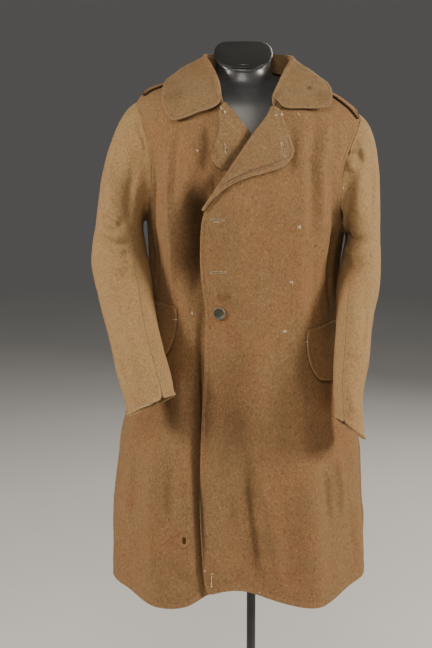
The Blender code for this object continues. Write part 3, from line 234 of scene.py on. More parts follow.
def woolMaterial(name):
    middle, red, olive, light, dark = woolColours[name]
    look = Finish(name)
    patch = look.ramp(look.noise(wool["patchScale"], 3, 0.6, warp=0.6), 0.36, 0.66)
    streak = look.ramp(look.noise(wool["streakScale"], 2, 0.6, (1, 1, 0.16), (3, 1, 0)), 0.35, 0.7)
    colour = look.mix(patch, olive, red)
    colour = look.mix(look.sum(look.part(streak, 0.5), 0.25), colour, middle)
    mottle = look.ramp(look.noise(wool["mottleScale"], 3, 0.6, shift=(1, 2, 3)), 0.30, 0.72)
    colour = look.mix(look.part(mottle, wool["mottle"]), colour, light)
    fleck = look.noise(wool["fleckScale"], 3, 0.7, (1, 1, 0.6))
    colour = look.mix(look.part(look.ramp(fleck, 0.50, 0.72), wool["lightFleck"]), colour, light)
    other = look.noise(wool["fleckScale"] * 0.8, 3, 0.7, (1, 1, 0.6), (5, 5, 5))
    colour = look.mix(look.part(look.ramp(other, 0.50, 0.70), wool["darkFleck"]), colour, dark)
    grain = look.noise(wool["grainScale"], 3, 0.75, (1, 1, 0.8), (2, 8, 1), 0.4)
    colour = look.mix(look.part(look.ramp(grain, 0.52, 0.66), wool["grain"]), colour, dark)
    colour = look.mix(look.part(look.ramp(grain, 0.48, 0.34), wool["grain"]), colour, light)
    fibre = look.noise(wool["fibreScale"], 2, 0.7, (1, 1, 0.5), (7, 1, 2))
    colour = look.mix(look.part(look.ramp(fibre, 0.5, 0.8), wool["fibre"]), colour, light)
    colour = look.mix(look.part(look.attribute("edgeWear"), wool["edgeWear"]), colour, light)
    # stains, the straps' dark piping and painted shade along the body's folds darken the cloth, broken up by
    # a cloud
    cloud = look.sum(look.part(look.noise(wool["darkMarksAndShadeScale"], 3, 0.6), 0.4), 0.75)
    colour = look.mix(look.part(look.attribute("darkMarksAndShade"), cloud), colour, dark)
    for spot, radius, depth in pinHoles.get(name, ()):
        colour = look.mix(look.part(look.near(spot, radius), depth), colour, wool["hole"])
    look.put(look.shader.inputs["Base Color"], colour)
    look.shader.inputs["Roughness"].default_value = wool["rough"]
    look.shader.inputs["Specular IOR Level"].default_value = wool["specular"]
    look.shader.inputs["Sheen Weight"].default_value = wool["sheen"]
    look.shader.inputs["Sheen Roughness"].default_value = wool["sheenRough"]
    look.shader.inputs["Sheen Tint"].default_value = wool["sheenTint"]
    nap = look.sum(fibre, look.part(look.noise(wool["napScale"], 2, 0.7), 0.6))
    ripple = look.bump(look.noise(wool["rippleScale"], 3, 0.55, (1, 1, 0.7)), *wool["ripple"])
    look.put(look.shader.inputs["Normal"], look.bump(look.sum(nap, fleck), *wool["nap"], ripple))
    return look.material


# paint, plate, horn and wire: two tones in soft clouds
def smoothMaterial(name, colour, other, rough, metal=0.0, coat=0.0, grain=160.0):
    look = Finish(name)
    cloud = look.ramp(look.noise(9, 3, 0.6), 0.3, 0.7)
    fine = look.ramp(look.noise(grain, 2, 0.6), 0.35, 0.75)
    base = look.mix(cloud, colour, other)
    look.put(look.shader.inputs["Base Color"], look.mix(look.part(fine, 0.15), base, other))
    look.put(look.shader.inputs["Roughness"], look.sum(look.part(cloud, 0.08), rough))
    look.shader.inputs["Metallic"].default_value = metal
    look.shader.inputs["Coat Weight"].default_value = coat
    look.shader.inputs["Coat Roughness"].default_value = 0.18
    look.put(look.shader.inputs["Normal"], look.bump(fine, 0.05, 0.0006))
    return look.material


def threadMaterial(name, colour, other):
    look = Finish(name)
    tone = look.ramp(look.noise(800, 2, 0.6), 0.3, 0.7)
    look.put(look.shader.inputs["Base Color"], look.mix(tone, colour, other))
    look.shader.inputs["Roughness"].default_value = 0.8
    look.shader.inputs["Sheen Weight"].default_value = 0.2
    look.put(look.shader.inputs["Normal"], look.bump(look.noise(1600, 2), 0.4, 0.0004))
    return look.material


# a copy of a solid, with its loose triangles joined
def mergedCopy(node, name):
    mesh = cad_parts[node].data.copy()
    mesh.name = name
    obj = bpy.data.objects.new(name, mesh)
    bpy.context.scene.collection.objects.link(obj)
    only(obj)
    bpy.ops.object.mode_set(mode="EDIT")
    bpy.ops.mesh.select_all(action="SELECT")
    bpy.ops.mesh.remove_doubles(threshold=0.00001)
    bpy.ops.mesh.tris_convert_to_quads(face_threshold=math.radians(60), shape_threshold=math.radians(75),
                                       topology_influence=1.0)
    bpy.ops.object.mode_set(mode="OBJECT")
    mesh.materials.clear()
    return obj


def pointsOf(mesh):
    co = np.empty(len(mesh.vertices) * 3)
    mesh.vertices.foreach_get("co", co)
    return co.reshape(-1, 3)


def setPoints(mesh, points):
    mesh.vertices.foreach_set("co", points.ravel())
    mesh.update()


def setAttribute(mesh, name, values):
    layer = mesh.attributes.get(name) or mesh.attributes.new(name, "FLOAT", "POINT")
    layer.data.foreach_set("value", np.asarray(values, dtype=np.float32))


rims = {
    "sharp": math.radians(50),  # edges of a wall of cloth are sharper than this
    "support": 0.0024,          # the support line lies this far in
    "mark": 0.85,               # its mark, where the rim itself has 1
    "least": 0.97,              # points with this mark or more lie on the rim
    "push": 0.00011,            # a sewn edge nearly shuts its seam
}


# the faces of a wall in groups that join smoothly, and the two wide groups
def smoothGroups(bm):
    group = {}
    for start in bm.faces:
        if start in group:
            continue
        name = len(group)
        queue = [start]
        group[start] = name
        while queue:
            for edge in queue.pop().edges:
                if edge.calc_face_angle(0) > rims["sharp"]:
                    continue
                for other in edge.link_faces:
                    if other not in group:
                        group[other] = name
                        queue.append(other)
    area = {}
    for face, name in group.items():
        area[name] = area.get(name, 0) + face.calc_area()
    return group, sorted(area, key=lambda name: -area[name])[:2]


# sewn edges stay sharp and are pushed against their neighbour, free ones come out rounded
def creaseSeams(bm, isFree, wideFaces):
    crease = bm.edges.layers.float.get("crease_edge") or bm.edges.layers.float.new("crease_edge")
    edges = [edge for edge in bm.edges if edge.calc_face_angle(0) > rims["sharp"]]
    if not edges:
        return
    middles = np.array([tuple((edge.verts[0].co + edge.verts[1].co) / 2) for edge in edges])
    seam = {}
    for edge, free in zip(edges, isFree(middles)):
        edge[crease] = 0.0 if free else 1.0
        if not free:
            seam.update((vert, Vector()) for vert in edge.verts)
    for vert in seam:
        across = sum((face.normal for face in vert.link_faces if face not in wideFaces), Vector())
        seam[vert] = across.normalized() * rims["push"]
    for vert, push in seam.items():
        vert.co += push


# marks the rim of a wall of cloth and puts a support line beside it
def softenRims(obj, isFree):
    bm = bmesh.new()
    bm.from_mesh(obj.data)
    group, sides = smoothGroups(bm)
    rim = bm.verts.layers.float.new("rim")
    for face, name in group.items():
        if name not in sides:
            for vert in face.verts:
                vert[rim] = 1
    wide = [face for face, name in group.items() if name in sides]
    inset = bmesh.ops.inset_region(bm, faces=wide, thickness=rims["support"], use_boundary=True,
                                   use_even_offset=False, use_interpolate=False)
    for vert in {vert for face in wide for vert in face.verts}:
        vert[rim] = min(vert[rim], rims["mark"])
    creaseSeams(bm, isFree, set(wide) | set(inset["faces"]))
    bm.to_mesh(obj.data)
    bm.free()


def subdivide(obj, levels):
    only(obj)
    more = obj.modifiers.new("smooth", "SUBSURF")
    more.levels = levels
    more.render_levels = levels
    bpy.ops.object.modifier_apply(modifier="smooth")


bodyMiddle = {
    "x": -0.02,
    "y": 0.0,
    "wide": 0.24,     # half width and half depth
    "deep": 0.16,
    "chest": 1.22,    # above this height the cloth turns upwards
    "tall": 0.30,
    "radius": 0.20,   # places round the body are laid flat at this radius
}
sleeveAxis = {
    "right": ((-0.232, 0.0, 1.36), (-0.262, -0.018, 1.16), (-0.256, -0.070, 1.05), (-0.202, -0.186, 0.852)),
    "left": ((0.222, 0.0, 1.33), (0.218, -0.022, 1.125), (0.2005, -0.098, 0.998), (0.1905, -0.168, 0.802)),
}
sleeveMiddle = {"head": 1.30, "rise": 0.8, "radius": 0.055}
bodyGirth = 2 * math.pi * bodyMiddle["radius"]
sleeveGirth = 2 * math.pi * sleeveMiddle["radius"]


# the way out of the body and of a sleeve at each point
def bodyOut(points):
    out = np.zeros_like(points)
    out[:, 0] = (points[:, 0] - bodyMiddle["x"]) / bodyMiddle["wide"] ** 2
    out[:, 1] = (points[:, 1] - bodyMiddle["y"]) / bodyMiddle["deep"] ** 2
    out[:, 2] = np.clip(points[:, 2] - bodyMiddle["chest"], 0, 1) / bodyMiddle["tall"] ** 2
    return out / np.linalg.norm(out, axis=1, keepdims=True)


def axisAt(side, z):
    line = np.array(sleeveAxis[side])[::-1]
    return np.stack([np.interp(z, line[:, 2], line[:, k]) for k in (0, 1)], axis=-1)


def sleeveOut(points, side):
    out = np.zeros_like(points)
    out[:, :2] = points[:, :2] - axisAt(side, points[:, 2])
    out[:, 2] = np.clip(points[:, 2] - sleeveMiddle["head"], 0, 1) * sleeveMiddle["rise"]
    return out / np.maximum(np.linalg.norm(out, axis=1, keepdims=True), 1e-6)


# places laid flat: metres round the body or the sleeve, and height
def flatBody(points):
    turn = np.arctan2((points[:, 0] - bodyMiddle["x"]) / bodyMiddle["wide"],
                      -(points[:, 1] - bodyMiddle["y"]) / bodyMiddle["deep"])
    return np.stack((turn * bodyMiddle["radius"], points[:, 2]), axis=-1)


def flatSleeve(points, side):
    away = points[:, :2] - axisAt(side, points[:, 2])
    turn = np.arctan2(away[:, 0], -away[:, 1])
    return np.stack((turn * sleeveMiddle["radius"], points[:, 2]), axis=-1)


def easing(t):
    t = np.clip(t, 0, 1)
    return t * t * (3 - 2 * t)


creaseEnds = {"share": 0.3, "height": 0.15}  # a crease dies out over this share of its length


# one soft trough or ridge along a line of flat places, on a tube of this girth
def creaseHeight(flat, line, wide, deep, girth):
    best = np.full(len(flat), np.inf)
    along = np.zeros(len(flat))
    line = np.array(line)
    steps = np.linalg.norm(np.diff(line, axis=0), axis=1)
    far = np.concatenate(((0,), np.cumsum(steps)))
    for i in range(len(line) - 1):
        run = line[i + 1] - line[i]
        away = flat - line[i]
        away[:, 0] = (away[:, 0] + girth / 2) % girth - girth / 2
        t = np.clip(away @ run / (run @ run), 0, 1)
        gap = np.linalg.norm(away - t[:, None] * run, axis=1)
        closer = gap < best
        best = np.where(closer, gap, best)
        along = np.where(closer, (far[i] + t * steps[i]) / far[-1], along)
    swell = easing(along / creaseEnds["share"]) * easing((1 - along) / creaseEnds["share"])
    least = creaseEnds["height"]
    return deep * np.exp(-((best / wide) ** 2)) * (least + (1 - least) * swell)


def creasesOf(flat, rows, girth):
    return sum(creaseHeight(flat, line, wide, deep, girth) for line, wide, deep in rows)


def lumps(points, scale, height, shift):
    return np.array([noise.noise(Vector(p) * scale + Vector(shift)) for p in points]) * height


# creases by their places in the picture: line, half width and height in metres
frontCreases = (
    (((303, 108), (300, 155), (301, 240)), 0.012, 0.0050),
    (((291, 118), (291, 155), (287, 205)), 0.011, -0.0030),
    (((312, 108), (310, 160), (308, 245)), 0.010, -0.0038),
    (((322, 108), (321, 165), (317, 250)), 0.011, 0.0060),
    (((306, 225), (300, 270), (303, 325)), 0.018, 0.0034),
    (((318, 240), (314, 290), (316, 325)), 0.014, -0.0034),
    (((268, 190), (262, 240), (266, 300)), 0.022, -0.0028),
    (((244, 192), (238, 225), (240, 270)), 0.018, 0.0026),
    (((236, 297), (224, 302), (213, 299)), 0.008, -0.0046),
    (((246, 288), (236, 300), (228, 309)), 0.010, 0.0030),
    (((230, 326), (236, 360), (238, 392)), 0.014, -0.0032),
    (((190, 122), (192, 160), (188, 190)), 0.010, 0.0056),
    (((206, 120), (207, 150), (203, 178)), 0.010, -0.0064),
    (((179, 124), (175, 170), (177, 215)), 0.010, -0.0040),
    (((168, 150), (168, 225), (173, 300)), 0.011, 0.0090),
    (((181, 185), (178, 240), (184, 295)), 0.010, -0.0044),
    (((236, 395), (232, 470), (236, 575)), 0.020, -0.0074),
    (((246, 460), (256, 520), (266, 590)), 0.010, -0.0080),
    (((256, 456), (267, 515), (279, 590)), 0.012, 0.0076),
    (((215, 350), (213, 450), (216, 580)), 0.014, 0.0046),
    (((262, 340), (257, 390), (254, 450)), 0.018, 0.0034),
    (((284, 350), (286, 410), (292, 470)), 0.018, -0.0030),
    (((304, 430), (312, 510), (314, 605)), 0.020, 0.0090),
    (((288, 500), (292, 545), (294, 600)), 0.014, -0.0036),
    (((324, 470), (330, 530), (334, 600)), 0.011, -0.0080),
    (((338, 450), (343, 520), (348, 595)), 0.011, 0.0080),
    (((351, 500), (354, 545), (358, 575)), 0.009, -0.0036),
    (((156, 430), (150, 520), (153, 605)), 0.018, 0.0096),
    (((135, 450), (130, 530), (128, 600)), 0.012, -0.0080),
    (((121, 470), (118, 530), (117, 575)), 0.010, 0.0036),
    (((172, 460), (170, 530), (172, 610)), 0.012, -0.0066),
    (((187, 440), (188, 510), (187, 595)), 0.013, 0.0036),
    (((160, 560), (176, 572), (188, 590)), 0.010, -0.0034),
    (((184, 322), (181, 370), (184, 420)), 0.011, 0.0036),
    (((332, 185), (334, 240), (333, 315)), 0.014, -0.0130),
    (((155, 160), (153, 220), (157, 290)), 0.009, -0.0110),
)
# creases round the back and sides: metres round the body from the front, height
backCreases = (
    (((0.520, 1.36), (0.530, 1.20), (0.545, 1.02)), 0.016, 0.0114),
    (((0.575, 1.32), (0.580, 1.18), (0.570, 1.05)), 0.013, -0.0102),
    (((0.640, 1.38), (0.628, 1.22), (0.620, 1.04)), 0.018, 0.0085),
    (((0.690, 1.34), (0.700, 1.18), (0.690, 1.00)), 0.014, -0.0097),
    (((0.745, 1.36), (0.740, 1.20), (0.730, 1.04)), 0.015, 0.0102),
    (((0.480, 1.02), (0.520, 0.98), (0.570, 0.99)), 0.014, -0.0085),
    (((0.690, 0.99), (0.740, 0.97), (0.780, 1.00)), 0.013, -0.0079),
    (((0.500, 0.90), (0.505, 0.70), (0.490, 0.46)), 0.018, 0.0114),
    (((0.560, 0.88), (0.566, 0.68), (0.570, 0.46)), 0.015, -0.0114),
    (((0.628, 0.92), (0.632, 0.70), (0.640, 0.45)), 0.020, 0.0102),
    (((0.700, 0.90), (0.705, 0.68), (0.700, 0.46)), 0.015, -0.0120),
    (((0.760, 0.88), (0.770, 0.66), (0.780, 0.46)), 0.017, 0.0114),
    (((0.400, 0.86), (0.396, 0.66), (0.385, 0.47)), 0.014, -0.0102),
    (((0.350, 0.80), (0.348, 0.64), (0.345, 0.48)), 0.014, 0.0085),
    (((0.440, 0.84), (0.440, 0.66), (0.436, 0.47)), 0.013, 0.0079),
    (((0.860, 0.84), (0.868, 0.66), (0.872, 0.47)), 0.014, -0.0097),
    (((0.915, 0.82), (0.920, 0.64), (0.924, 0.47)), 0.014, 0.0063),
)

# creases of the sleeves in the picture, then on their hidden sides
sleevePicture = {
    "right": (
        (((140, 112), (147, 130), (150, 150)), 0.008, -0.0084),
        (((132, 118), (139, 134), (145, 150)), 0.007, 0.0069),
        (((137, 122), (142, 138), (147, 152)), 0.004, -0.0059),
        (((112, 150), (110, 190), (112, 225)), 0.012, 0.0062),
        (((134, 165), (128, 200), (126, 232)), 0.010, -0.0074),
        (((100, 214), (114, 226), (128, 224)), 0.008, -0.0084),
        (((98, 236), (116, 246), (134, 240)), 0.008, -0.0074),
        (((102, 226), (116, 236), (130, 232)), 0.008, 0.0062),
        (((104, 262), (120, 266), (138, 258)), 0.008, 0.0052),
        (((108, 276), (124, 280), (142, 276)), 0.007, -0.0047),
        (((124, 245), (126, 262), (124, 284)), 0.007, -0.0052),
        (((120, 300), (130, 335), (140, 372)), 0.012, 0.0052),
        (((140, 300), (150, 335), (158, 368)), 0.009, -0.0047),
        (((112, 330), (122, 360), (132, 392)), 0.010, -0.0043),
    ),
    "left": (
        (((351, 142), (357, 152), (361, 166)), 0.005, -0.0105),
        (((346, 146), (350, 158), (352, 172)), 0.006, 0.0081),
        (((358, 138), (364, 150), (368, 168)), 0.006, 0.0069),
        (((362, 150), (360, 190), (356, 225)), 0.010, 0.0069),
        (((350, 178), (347, 210), (346, 240)), 0.008, -0.0069),
        (((372, 165), (373, 195), (371, 224)), 0.008, -0.0059),
        (((344, 232), (358, 240), (374, 238)), 0.007, -0.0069),
        (((346, 248), (360, 254), (374, 250)), 0.008, 0.0059),
        (((344, 262), (356, 268), (370, 264)), 0.007, -0.0052),
        (((352, 280), (354, 320), (350, 352)), 0.010, 0.0052),
        (((364, 300), (366, 330), (362, 356)), 0.007, -0.0052),
        (((342, 352), (352, 360), (366, 356)), 0.007, -0.0047),
        (((345, 372), (350, 395), (354, 415)), 0.008, 0.0047),
    ),
}
sleeveHidden = {
    # metres round the sleeve from its front, height
    "right": (
        (((-0.10, 1.08), (-0.13, 1.06), (-0.17, 1.07)), 0.010, -0.0057),
        (((-0.10, 1.04), (-0.13, 1.02), (-0.17, 1.03)), 0.010, 0.0049),
        (((-0.11, 1.00), (-0.14, 0.985), (-0.17, 1.00)), 0.009, -0.0049),
        (((-0.12, 1.28), (-0.125, 1.20), (-0.12, 1.12)), 0.012, 0.0049),
    ),
    "left": (
        (((0.10, 1.02), (0.13, 1.00), (0.17, 1.01)), 0.009, -0.0053),
        (((0.10, 0.985), (0.13, 0.97), (0.17, 0.98)), 0.009, 0.0045),
        (((0.12, 1.26), (0.125, 1.18), (0.12, 1.10)), 0.012, 0.0049),
    ),
}
# dark hollows where the inner front falls away behind the edge of the outer one
innerHollows = (
    (((199, 174), (194, 215), (193, 262), (196, 303)), 0.015, -0.022),
    (((200, 320), (198, 370), (199, 430), (200, 505), (203, 550), (205, 594)), 0.005, -0.010),
)


def treeOf(meshes):
    verts = []
    faces = []
    for mesh in meshes:
        start = len(verts)
        verts += [v.co.copy() for v in mesh.vertices]
        faces += [[start + i for i in p.vertices] for p in mesh.polygons]
    return BVHTree.FromPolygons(verts, faces)


def solidTree(*nodes):
    return treeOf([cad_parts[name].data for name in nodes])


# what the camera sees at a place in the picture on these pieces: point and facing
def seenAt(px, py, tree):
    spot, facing = tree.ray_cast(camPlace, lineOfSight(px, py))[:2]
    if spot is None:
        raise ValueError("nothing is seen at %s, %s" % (px, py))
    if facing.dot(camForward) > 0:
        facing = -facing
    return spot, facing


def hitAt(px, py, tree):
    return tree.ray_cast(camPlace, lineOfSight(px, py))[0]


# lines in the picture as lines of flat places on these pieces
def onFlat(rows, tree, flatten):
    out = []
    for line, wide, deep in rows:
        hits = [hitAt(px, py, tree) for px, py in line]
        hits = [tuple(hit) for hit in hits if hit is not None]
        if len(hits) > 1:
            out.append((flatten(np.array(hits)), wide, deep))
    return out


bodySolids = solidTree("front_left", "front_right", "back")
sleeveSolids = {side: solidTree("top_sleeve_" + side, "under_sleeve_" + side) for side in ("right", "left")}
formSolid = solidTree("dress_form")
frontLines = onFlat(frontCreases, bodySolids, flatBody)
innerLines = onFlat(innerHollows, solidTree("front_right"), flatBody)
sleeveLines = {
    side: onFlat(sleevePicture[side], tree, lambda points, side=side: flatSleeve(points, side))
    for side, tree in sleeveSolids.items()
}
buttonPlace = np.mean(pointsOf(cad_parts["button"].data), axis=0)
buttonFlat = flatBody(buttonPlace[None])[0]
print("creases laid on the body and sleeves:", len(frontLines), [len(rows) for rows in sleeveLines.values()])

surface = {
    "lump": 0.0019,         # height of the uneven lie of the cloth
    "lumpScale": 16.0,
    "sleeveLump": 0.00152,
    "sleeveLumpScale": 20.8,
    "small": 0.00050,
    "smallScale": 60.0,
    "edgeThick": 0.0007,    # turned edges stand out this much
    "cuffThick": 0.0018,    # and at the cuffs
    "edgeWide": 0.008,
    "edgeStep": 0.003,      # the step down beside a turned edge
    "grooveDeep": 0.0007,   # the sewn line beside a turned edge
    "grooveWide": 0.0016,
    "sinks": 0.001,         # cloth that sinks more than this
    "formGap": 0.0045,      # stays this far off the form
    "formReach": 0.06,
    "buttonRadius": 0.022,  # the cloth lies flat round the button
}
shoulder = {
    "height": 1.28,         # above this the front's creases end at the shoulder
    "y": 0.03,
    "fade": 0.05,
    "sleeveTop": 1.40,      # a sleeve's creases die out towards its head
    "sleeveFade": 0.08,
    "sleeveLeast": 0.2,
}


# how far each point can sink before it meets the form
def keepOffForm(points, out, high):
    for i in np.flatnonzero(high < -surface["sinks"]):
        hit = formSolid.ray_cast(Vector(points[i]), Vector(-out[i]), surface["formReach"])
        if hit[0] is not None:
            high[i] = max(high[i], -max(hit[3] - surface["formGap"], 0.0))
    return high


def bodyShape(points, node):
    flat = flatBody(points)
    out = bodyOut(points)
    high = creasesOf(flat, frontLines, bodyGirth)
    if node == "front_right":
        high += creasesOf(flat, innerLines, bodyGirth)
    fade = easing((shoulder["y"] - points[:, 1]) / shoulder["fade"])
    high *= np.where(points[:, 2] > shoulder["height"], fade, 1.0)
    high += creasesOf(flat, backCreases, bodyGirth)
    high += lumps(points, surface["lumpScale"], surface["lump"], (3, 7, 1))
    high += lumps(points, surface["smallScale"], surface["small"], (9, 2, 4))
    fromButton = np.linalg.norm(flat - buttonFlat, axis=1) / surface["buttonRadius"]
    high *= 1 - np.exp(-(fromButton ** 4))
    return out * keepOffForm(points, out, high)[:, None]


def sleeveShape(points, side):
    flat = flatSleeve(points, side)
    high = creasesOf(flat, (*sleeveLines[side], *sleeveHidden[side]), sleeveGirth)
    high += lumps(points, surface["sleeveLumpScale"], surface["sleeveLump"], (1, 4, 2))
    high += lumps(points, surface["smallScale"], surface["small"], (2, 2, 8))
    fade = easing((shoulder["sleeveTop"] - points[:, 2]) / shoulder["sleeveFade"])
    least = shoulder["sleeveLeast"]
    return sleeveOut(points, side) * (high * (least + (1 - least) * fade))[:, None]


# distance of every point from the free edges of a sheet
def edgeDistance(mesh, points, isFree):
    rim = np.empty(len(points), dtype=np.float32)
    mesh.attributes["rim"].data.foreach_get("value", rim)
    marked = np.flatnonzero((rim > rims["least"]) & isFree(points))
    if len(marked) == 0:
        return np.full(len(points), 1.0)
    tree = KDTree(len(marked))
    for i in marked:
        tree.insert(Vector(points[i]), int(i))
    tree.balance()
    return np.array([tree.find(Vector(p))[2] for p in points])


# painted shade along the deep folds, the gaps beside the sleeves and fronts and under the pocket flaps, and
# a broad darker band down the skirt: line in the picture, half width, strength
shadeFolds = (
    (((199, 172), (194, 215), (193, 262), (196, 306)), 0.018, 0.85),
    (((201, 310), (199, 370), (200, 430), (202, 505), (204, 550), (205, 594)), 0.0028, 1.0),
    (((340, 190), (342, 250), (340, 330)), 0.026, 0.60),
    (((152, 150), (150, 220), (156, 300)), 0.010, 0.55),
    (((230, 340), (230, 470), (236, 620)), 0.036, 0.30),
    (((244, 440), (256, 520), (270, 610)), 0.010, 0.30),
    (((322, 330), (328, 380), (330, 420)), 0.026, 0.40),
    (((168, 330), (172, 370), (168, 412)), 0.018, 0.35),
    (((207, 124), (207, 150), (203, 178)), 0.010, 0.35),
)
# stains: place in the picture, radius in metres, strength
soilSpots = {
    "sleeve": (
        ((117.4, 224.7), 0.0065, 0.62), ((119, 218), 0.0045, 0.40), ((124.5, 251), 0.0050, 0.42),
        ((126, 262), 0.0060, 0.25), ((146, 130), 0.0060, 0.20), ((352, 170), 0.0050, 0.2),
    ),
    "body": (
        ((309.6, 88), 0.0045, 0.85), ((226, 300), 0.016, 0.22), ((208, 150), 0.018, 0.20),
        ((262, 545), 0.034, 0.12), ((298, 160), 0.020, 0.10), ((214, 152), 0.008, 0.28),
        ((226, 149), 0.004, 0.5), ((174, 96), 0.020, 0.22), ((322, 96), 0.016, 0.22),
        ((300, 66), 0.016, 0.20),
    ),
}
soilSoft = 1.4   # a stain fades out at this many radii
foldShadeBack = 0.02  # the painted fold shade of the front ends at this y
foldShadeLines = onFlat(shadeFolds, bodySolids, flatBody)
upperSolids = solidTree("collar", "front_left", "front_right", "lapel_left", "lapel_right")


# painted shade: darkening along the listed folds and gaps, on the front only
def foldShade(points):
    flat = flatBody(points)
    total = np.zeros(len(points))
    for line, wide, strength in foldShadeLines:
        total = np.maximum(total, creaseHeight(flat, line, wide, strength, bodyGirth))
    return total * (points[:, 1] < foldShadeBack)


def spotSoil(points, spots, tree):
    total = np.zeros(len(points))
    for (px, py), radius, strength in spots:
        hit = hitAt(px, py, tree)
        if hit is not None:
            away = np.linalg.norm(points - np.array(hit), axis=1)
            total = np.maximum(total, strength * easing(soilSoft - away / radius))
    return total


# moth holes too small to cut: cloth, solids, place in the picture, radius, darkness
mothSpots = (
    ("sleeve cloth", sleeveSolids["right"], (116.0, 149.5), 0.0013, 0.9),
    ("sleeve cloth", sleeveSolids["right"], (115.7, 154.6), 0.0010, 0.8),
    ("sleeve cloth", sleeveSolids["right"], (123.0, 360.0), 0.0019, 0.95),
    ("sleeve cloth", sleeveSolids["right"], (128.5, 359.4), 0.0013, 0.85),
    ("sleeve cloth", sleeveSolids["right"], (123.4, 363.0), 0.0010, 0.7),
    ("front cloth", bodySolids, (315.8, 246.0), 0.0016, 0.9),
    ("front cloth", bodySolids, (195.0, 558.0), 0.0012, 0.85),
    ("front cloth", bodySolids, (192.4, 561.0), 0.0009, 0.7),
    ("front cloth", bodySolids, (292.0, 187.0), 0.0011, 0.6),
)
pinHoles = {}
for cloth, tree, (px, py), radius, depth in mothSpots:
    hit = hitAt(px, py, tree)
    if hit is not None:
        pinHoles.setdefault(cloth, []).append((tuple(hit), radius, depth))

threadTones = {
    # finish: name, two tones
    "thread": ("light thread", (0.86, 0.74, 0.54), (0.66, 0.52, 0.34)),
    "hem thread": ("hem thread", (0.44, 0.31, 0.17), (0.34, 0.22, 0.11)),
    "brown thread": ("brown thread", (0.20, 0.13, 0.075), (0.12, 0.075, 0.045)),
    # the near-black thread also serves as painted shade along the buttonhole slits
    "dark thread": ("dark thread", (0.020, 0.014, 0.010), (0.035, 0.022, 0.014)),
}
smoothTones = {
    # finish: name, two tones, roughness, then metal, coat and grain where they differ
    "form": ("form skin", (0.040, 0.041, 0.044), (0.062, 0.063, 0.067), 0.34, {"coat": 0.25}),
    "cap": ("form cap", (0.014, 0.014, 0.014), (0.024, 0.024, 0.024), 0.40, {"coat": 0.1}),
    "pole": ("pole paint", (0.030, 0.030, 0.032), (0.055, 0.055, 0.058), 0.38, {"metal": 0.3}),
    "wire": ("hook wire", (0.10, 0.085, 0.065), (0.30, 0.26, 0.20), 0.42, {"metal": 0.9, "grain": 2000}),
}
horn = {
    "rim": ((0.13, 0.115, 0.080), (0.20, 0.175, 0.125)),
    "dish": ((0.028, 0.026, 0.015), (0.060, 0.054, 0.032)),
    "dishRadius": 0.0106,
    "rough": 0.46,
}


def hornMaterial():
    look = Finish("button horn")
    cloud = look.ramp(look.noise(260, 3, 0.6), 0.3, 0.7)
    inDish = look.near(tuple(buttonPlace), horn["dishRadius"], 0.10)
    colour = look.mix(inDish, look.mix(cloud, *horn["rim"]), look.mix(cloud, *horn["dish"]))
    look.put(look.shader.inputs["Base Color"], colour)
    look.shader.inputs["Roughness"].default_value = horn["rough"]
    look.put(look.shader.inputs["Normal"], look.bump(cloud, 0.2, 0.0005))
    return look.material


materials = {name: woolMaterial(name) for name in woolColours}
for finish, tones in threadTones.items():
    materials[finish] = threadMaterial(*tones)
for finish, (*tones, more) in smoothTones.items():
    materials[finish] = smoothMaterial(*tones, **more)
materials["horn"] = hornMaterial()
print("materials ready:", len(materials))

freeEdges = {
    "hemTop": 0.50,            # the hem lies below this height
    "sideSeam": 0.26,          # a front's own edge, in metres round the body
    "frontY": -0.02,
    "neck": 1.43,
    "cuffDeep": 0.020,         # a cuff's edge, along the sleeve and across it
    "cuffWide": 0.08,
    "collarTop": 1.505,
    "collarMiddle": (-0.0165, 0.0),
    "collarStand": 0.088,
}


def allRound(points):
    return np.ones(len(points), bool)


def atHem(points):
    return points[:, 2] < freeEdges["hemTop"]


def atEdges(points):
    atFront = np.abs(flatBody(points)[:, 0]) < freeEdges["sideSeam"]
    atFront &= (points[:, 1] < freeEdges["frontY"]) & (points[:, 2] < freeEdges["neck"])
    return atHem(points) | atFront


def atCuff(points):
    near = np.zeros(len(points), bool)
    for line in sleeveAxis.values():
        end = np.array(line[-1])
        along = end - np.array(line[-2])
        along /= np.linalg.norm(along)
        beside = np.abs(points[:, 0] - end[0]) < freeEdges["cuffWide"]
        near |= ((points - end) @ along > -freeEdges["cuffDeep"]) & beside
    return near


def atCollar(points):
    away = np.linalg.norm(points[:, :2] - freeEdges["collarMiddle"], axis=1)
    return (points[:, 2] < freeEdges["collarTop"]) & (away > freeEdges["collarStand"])


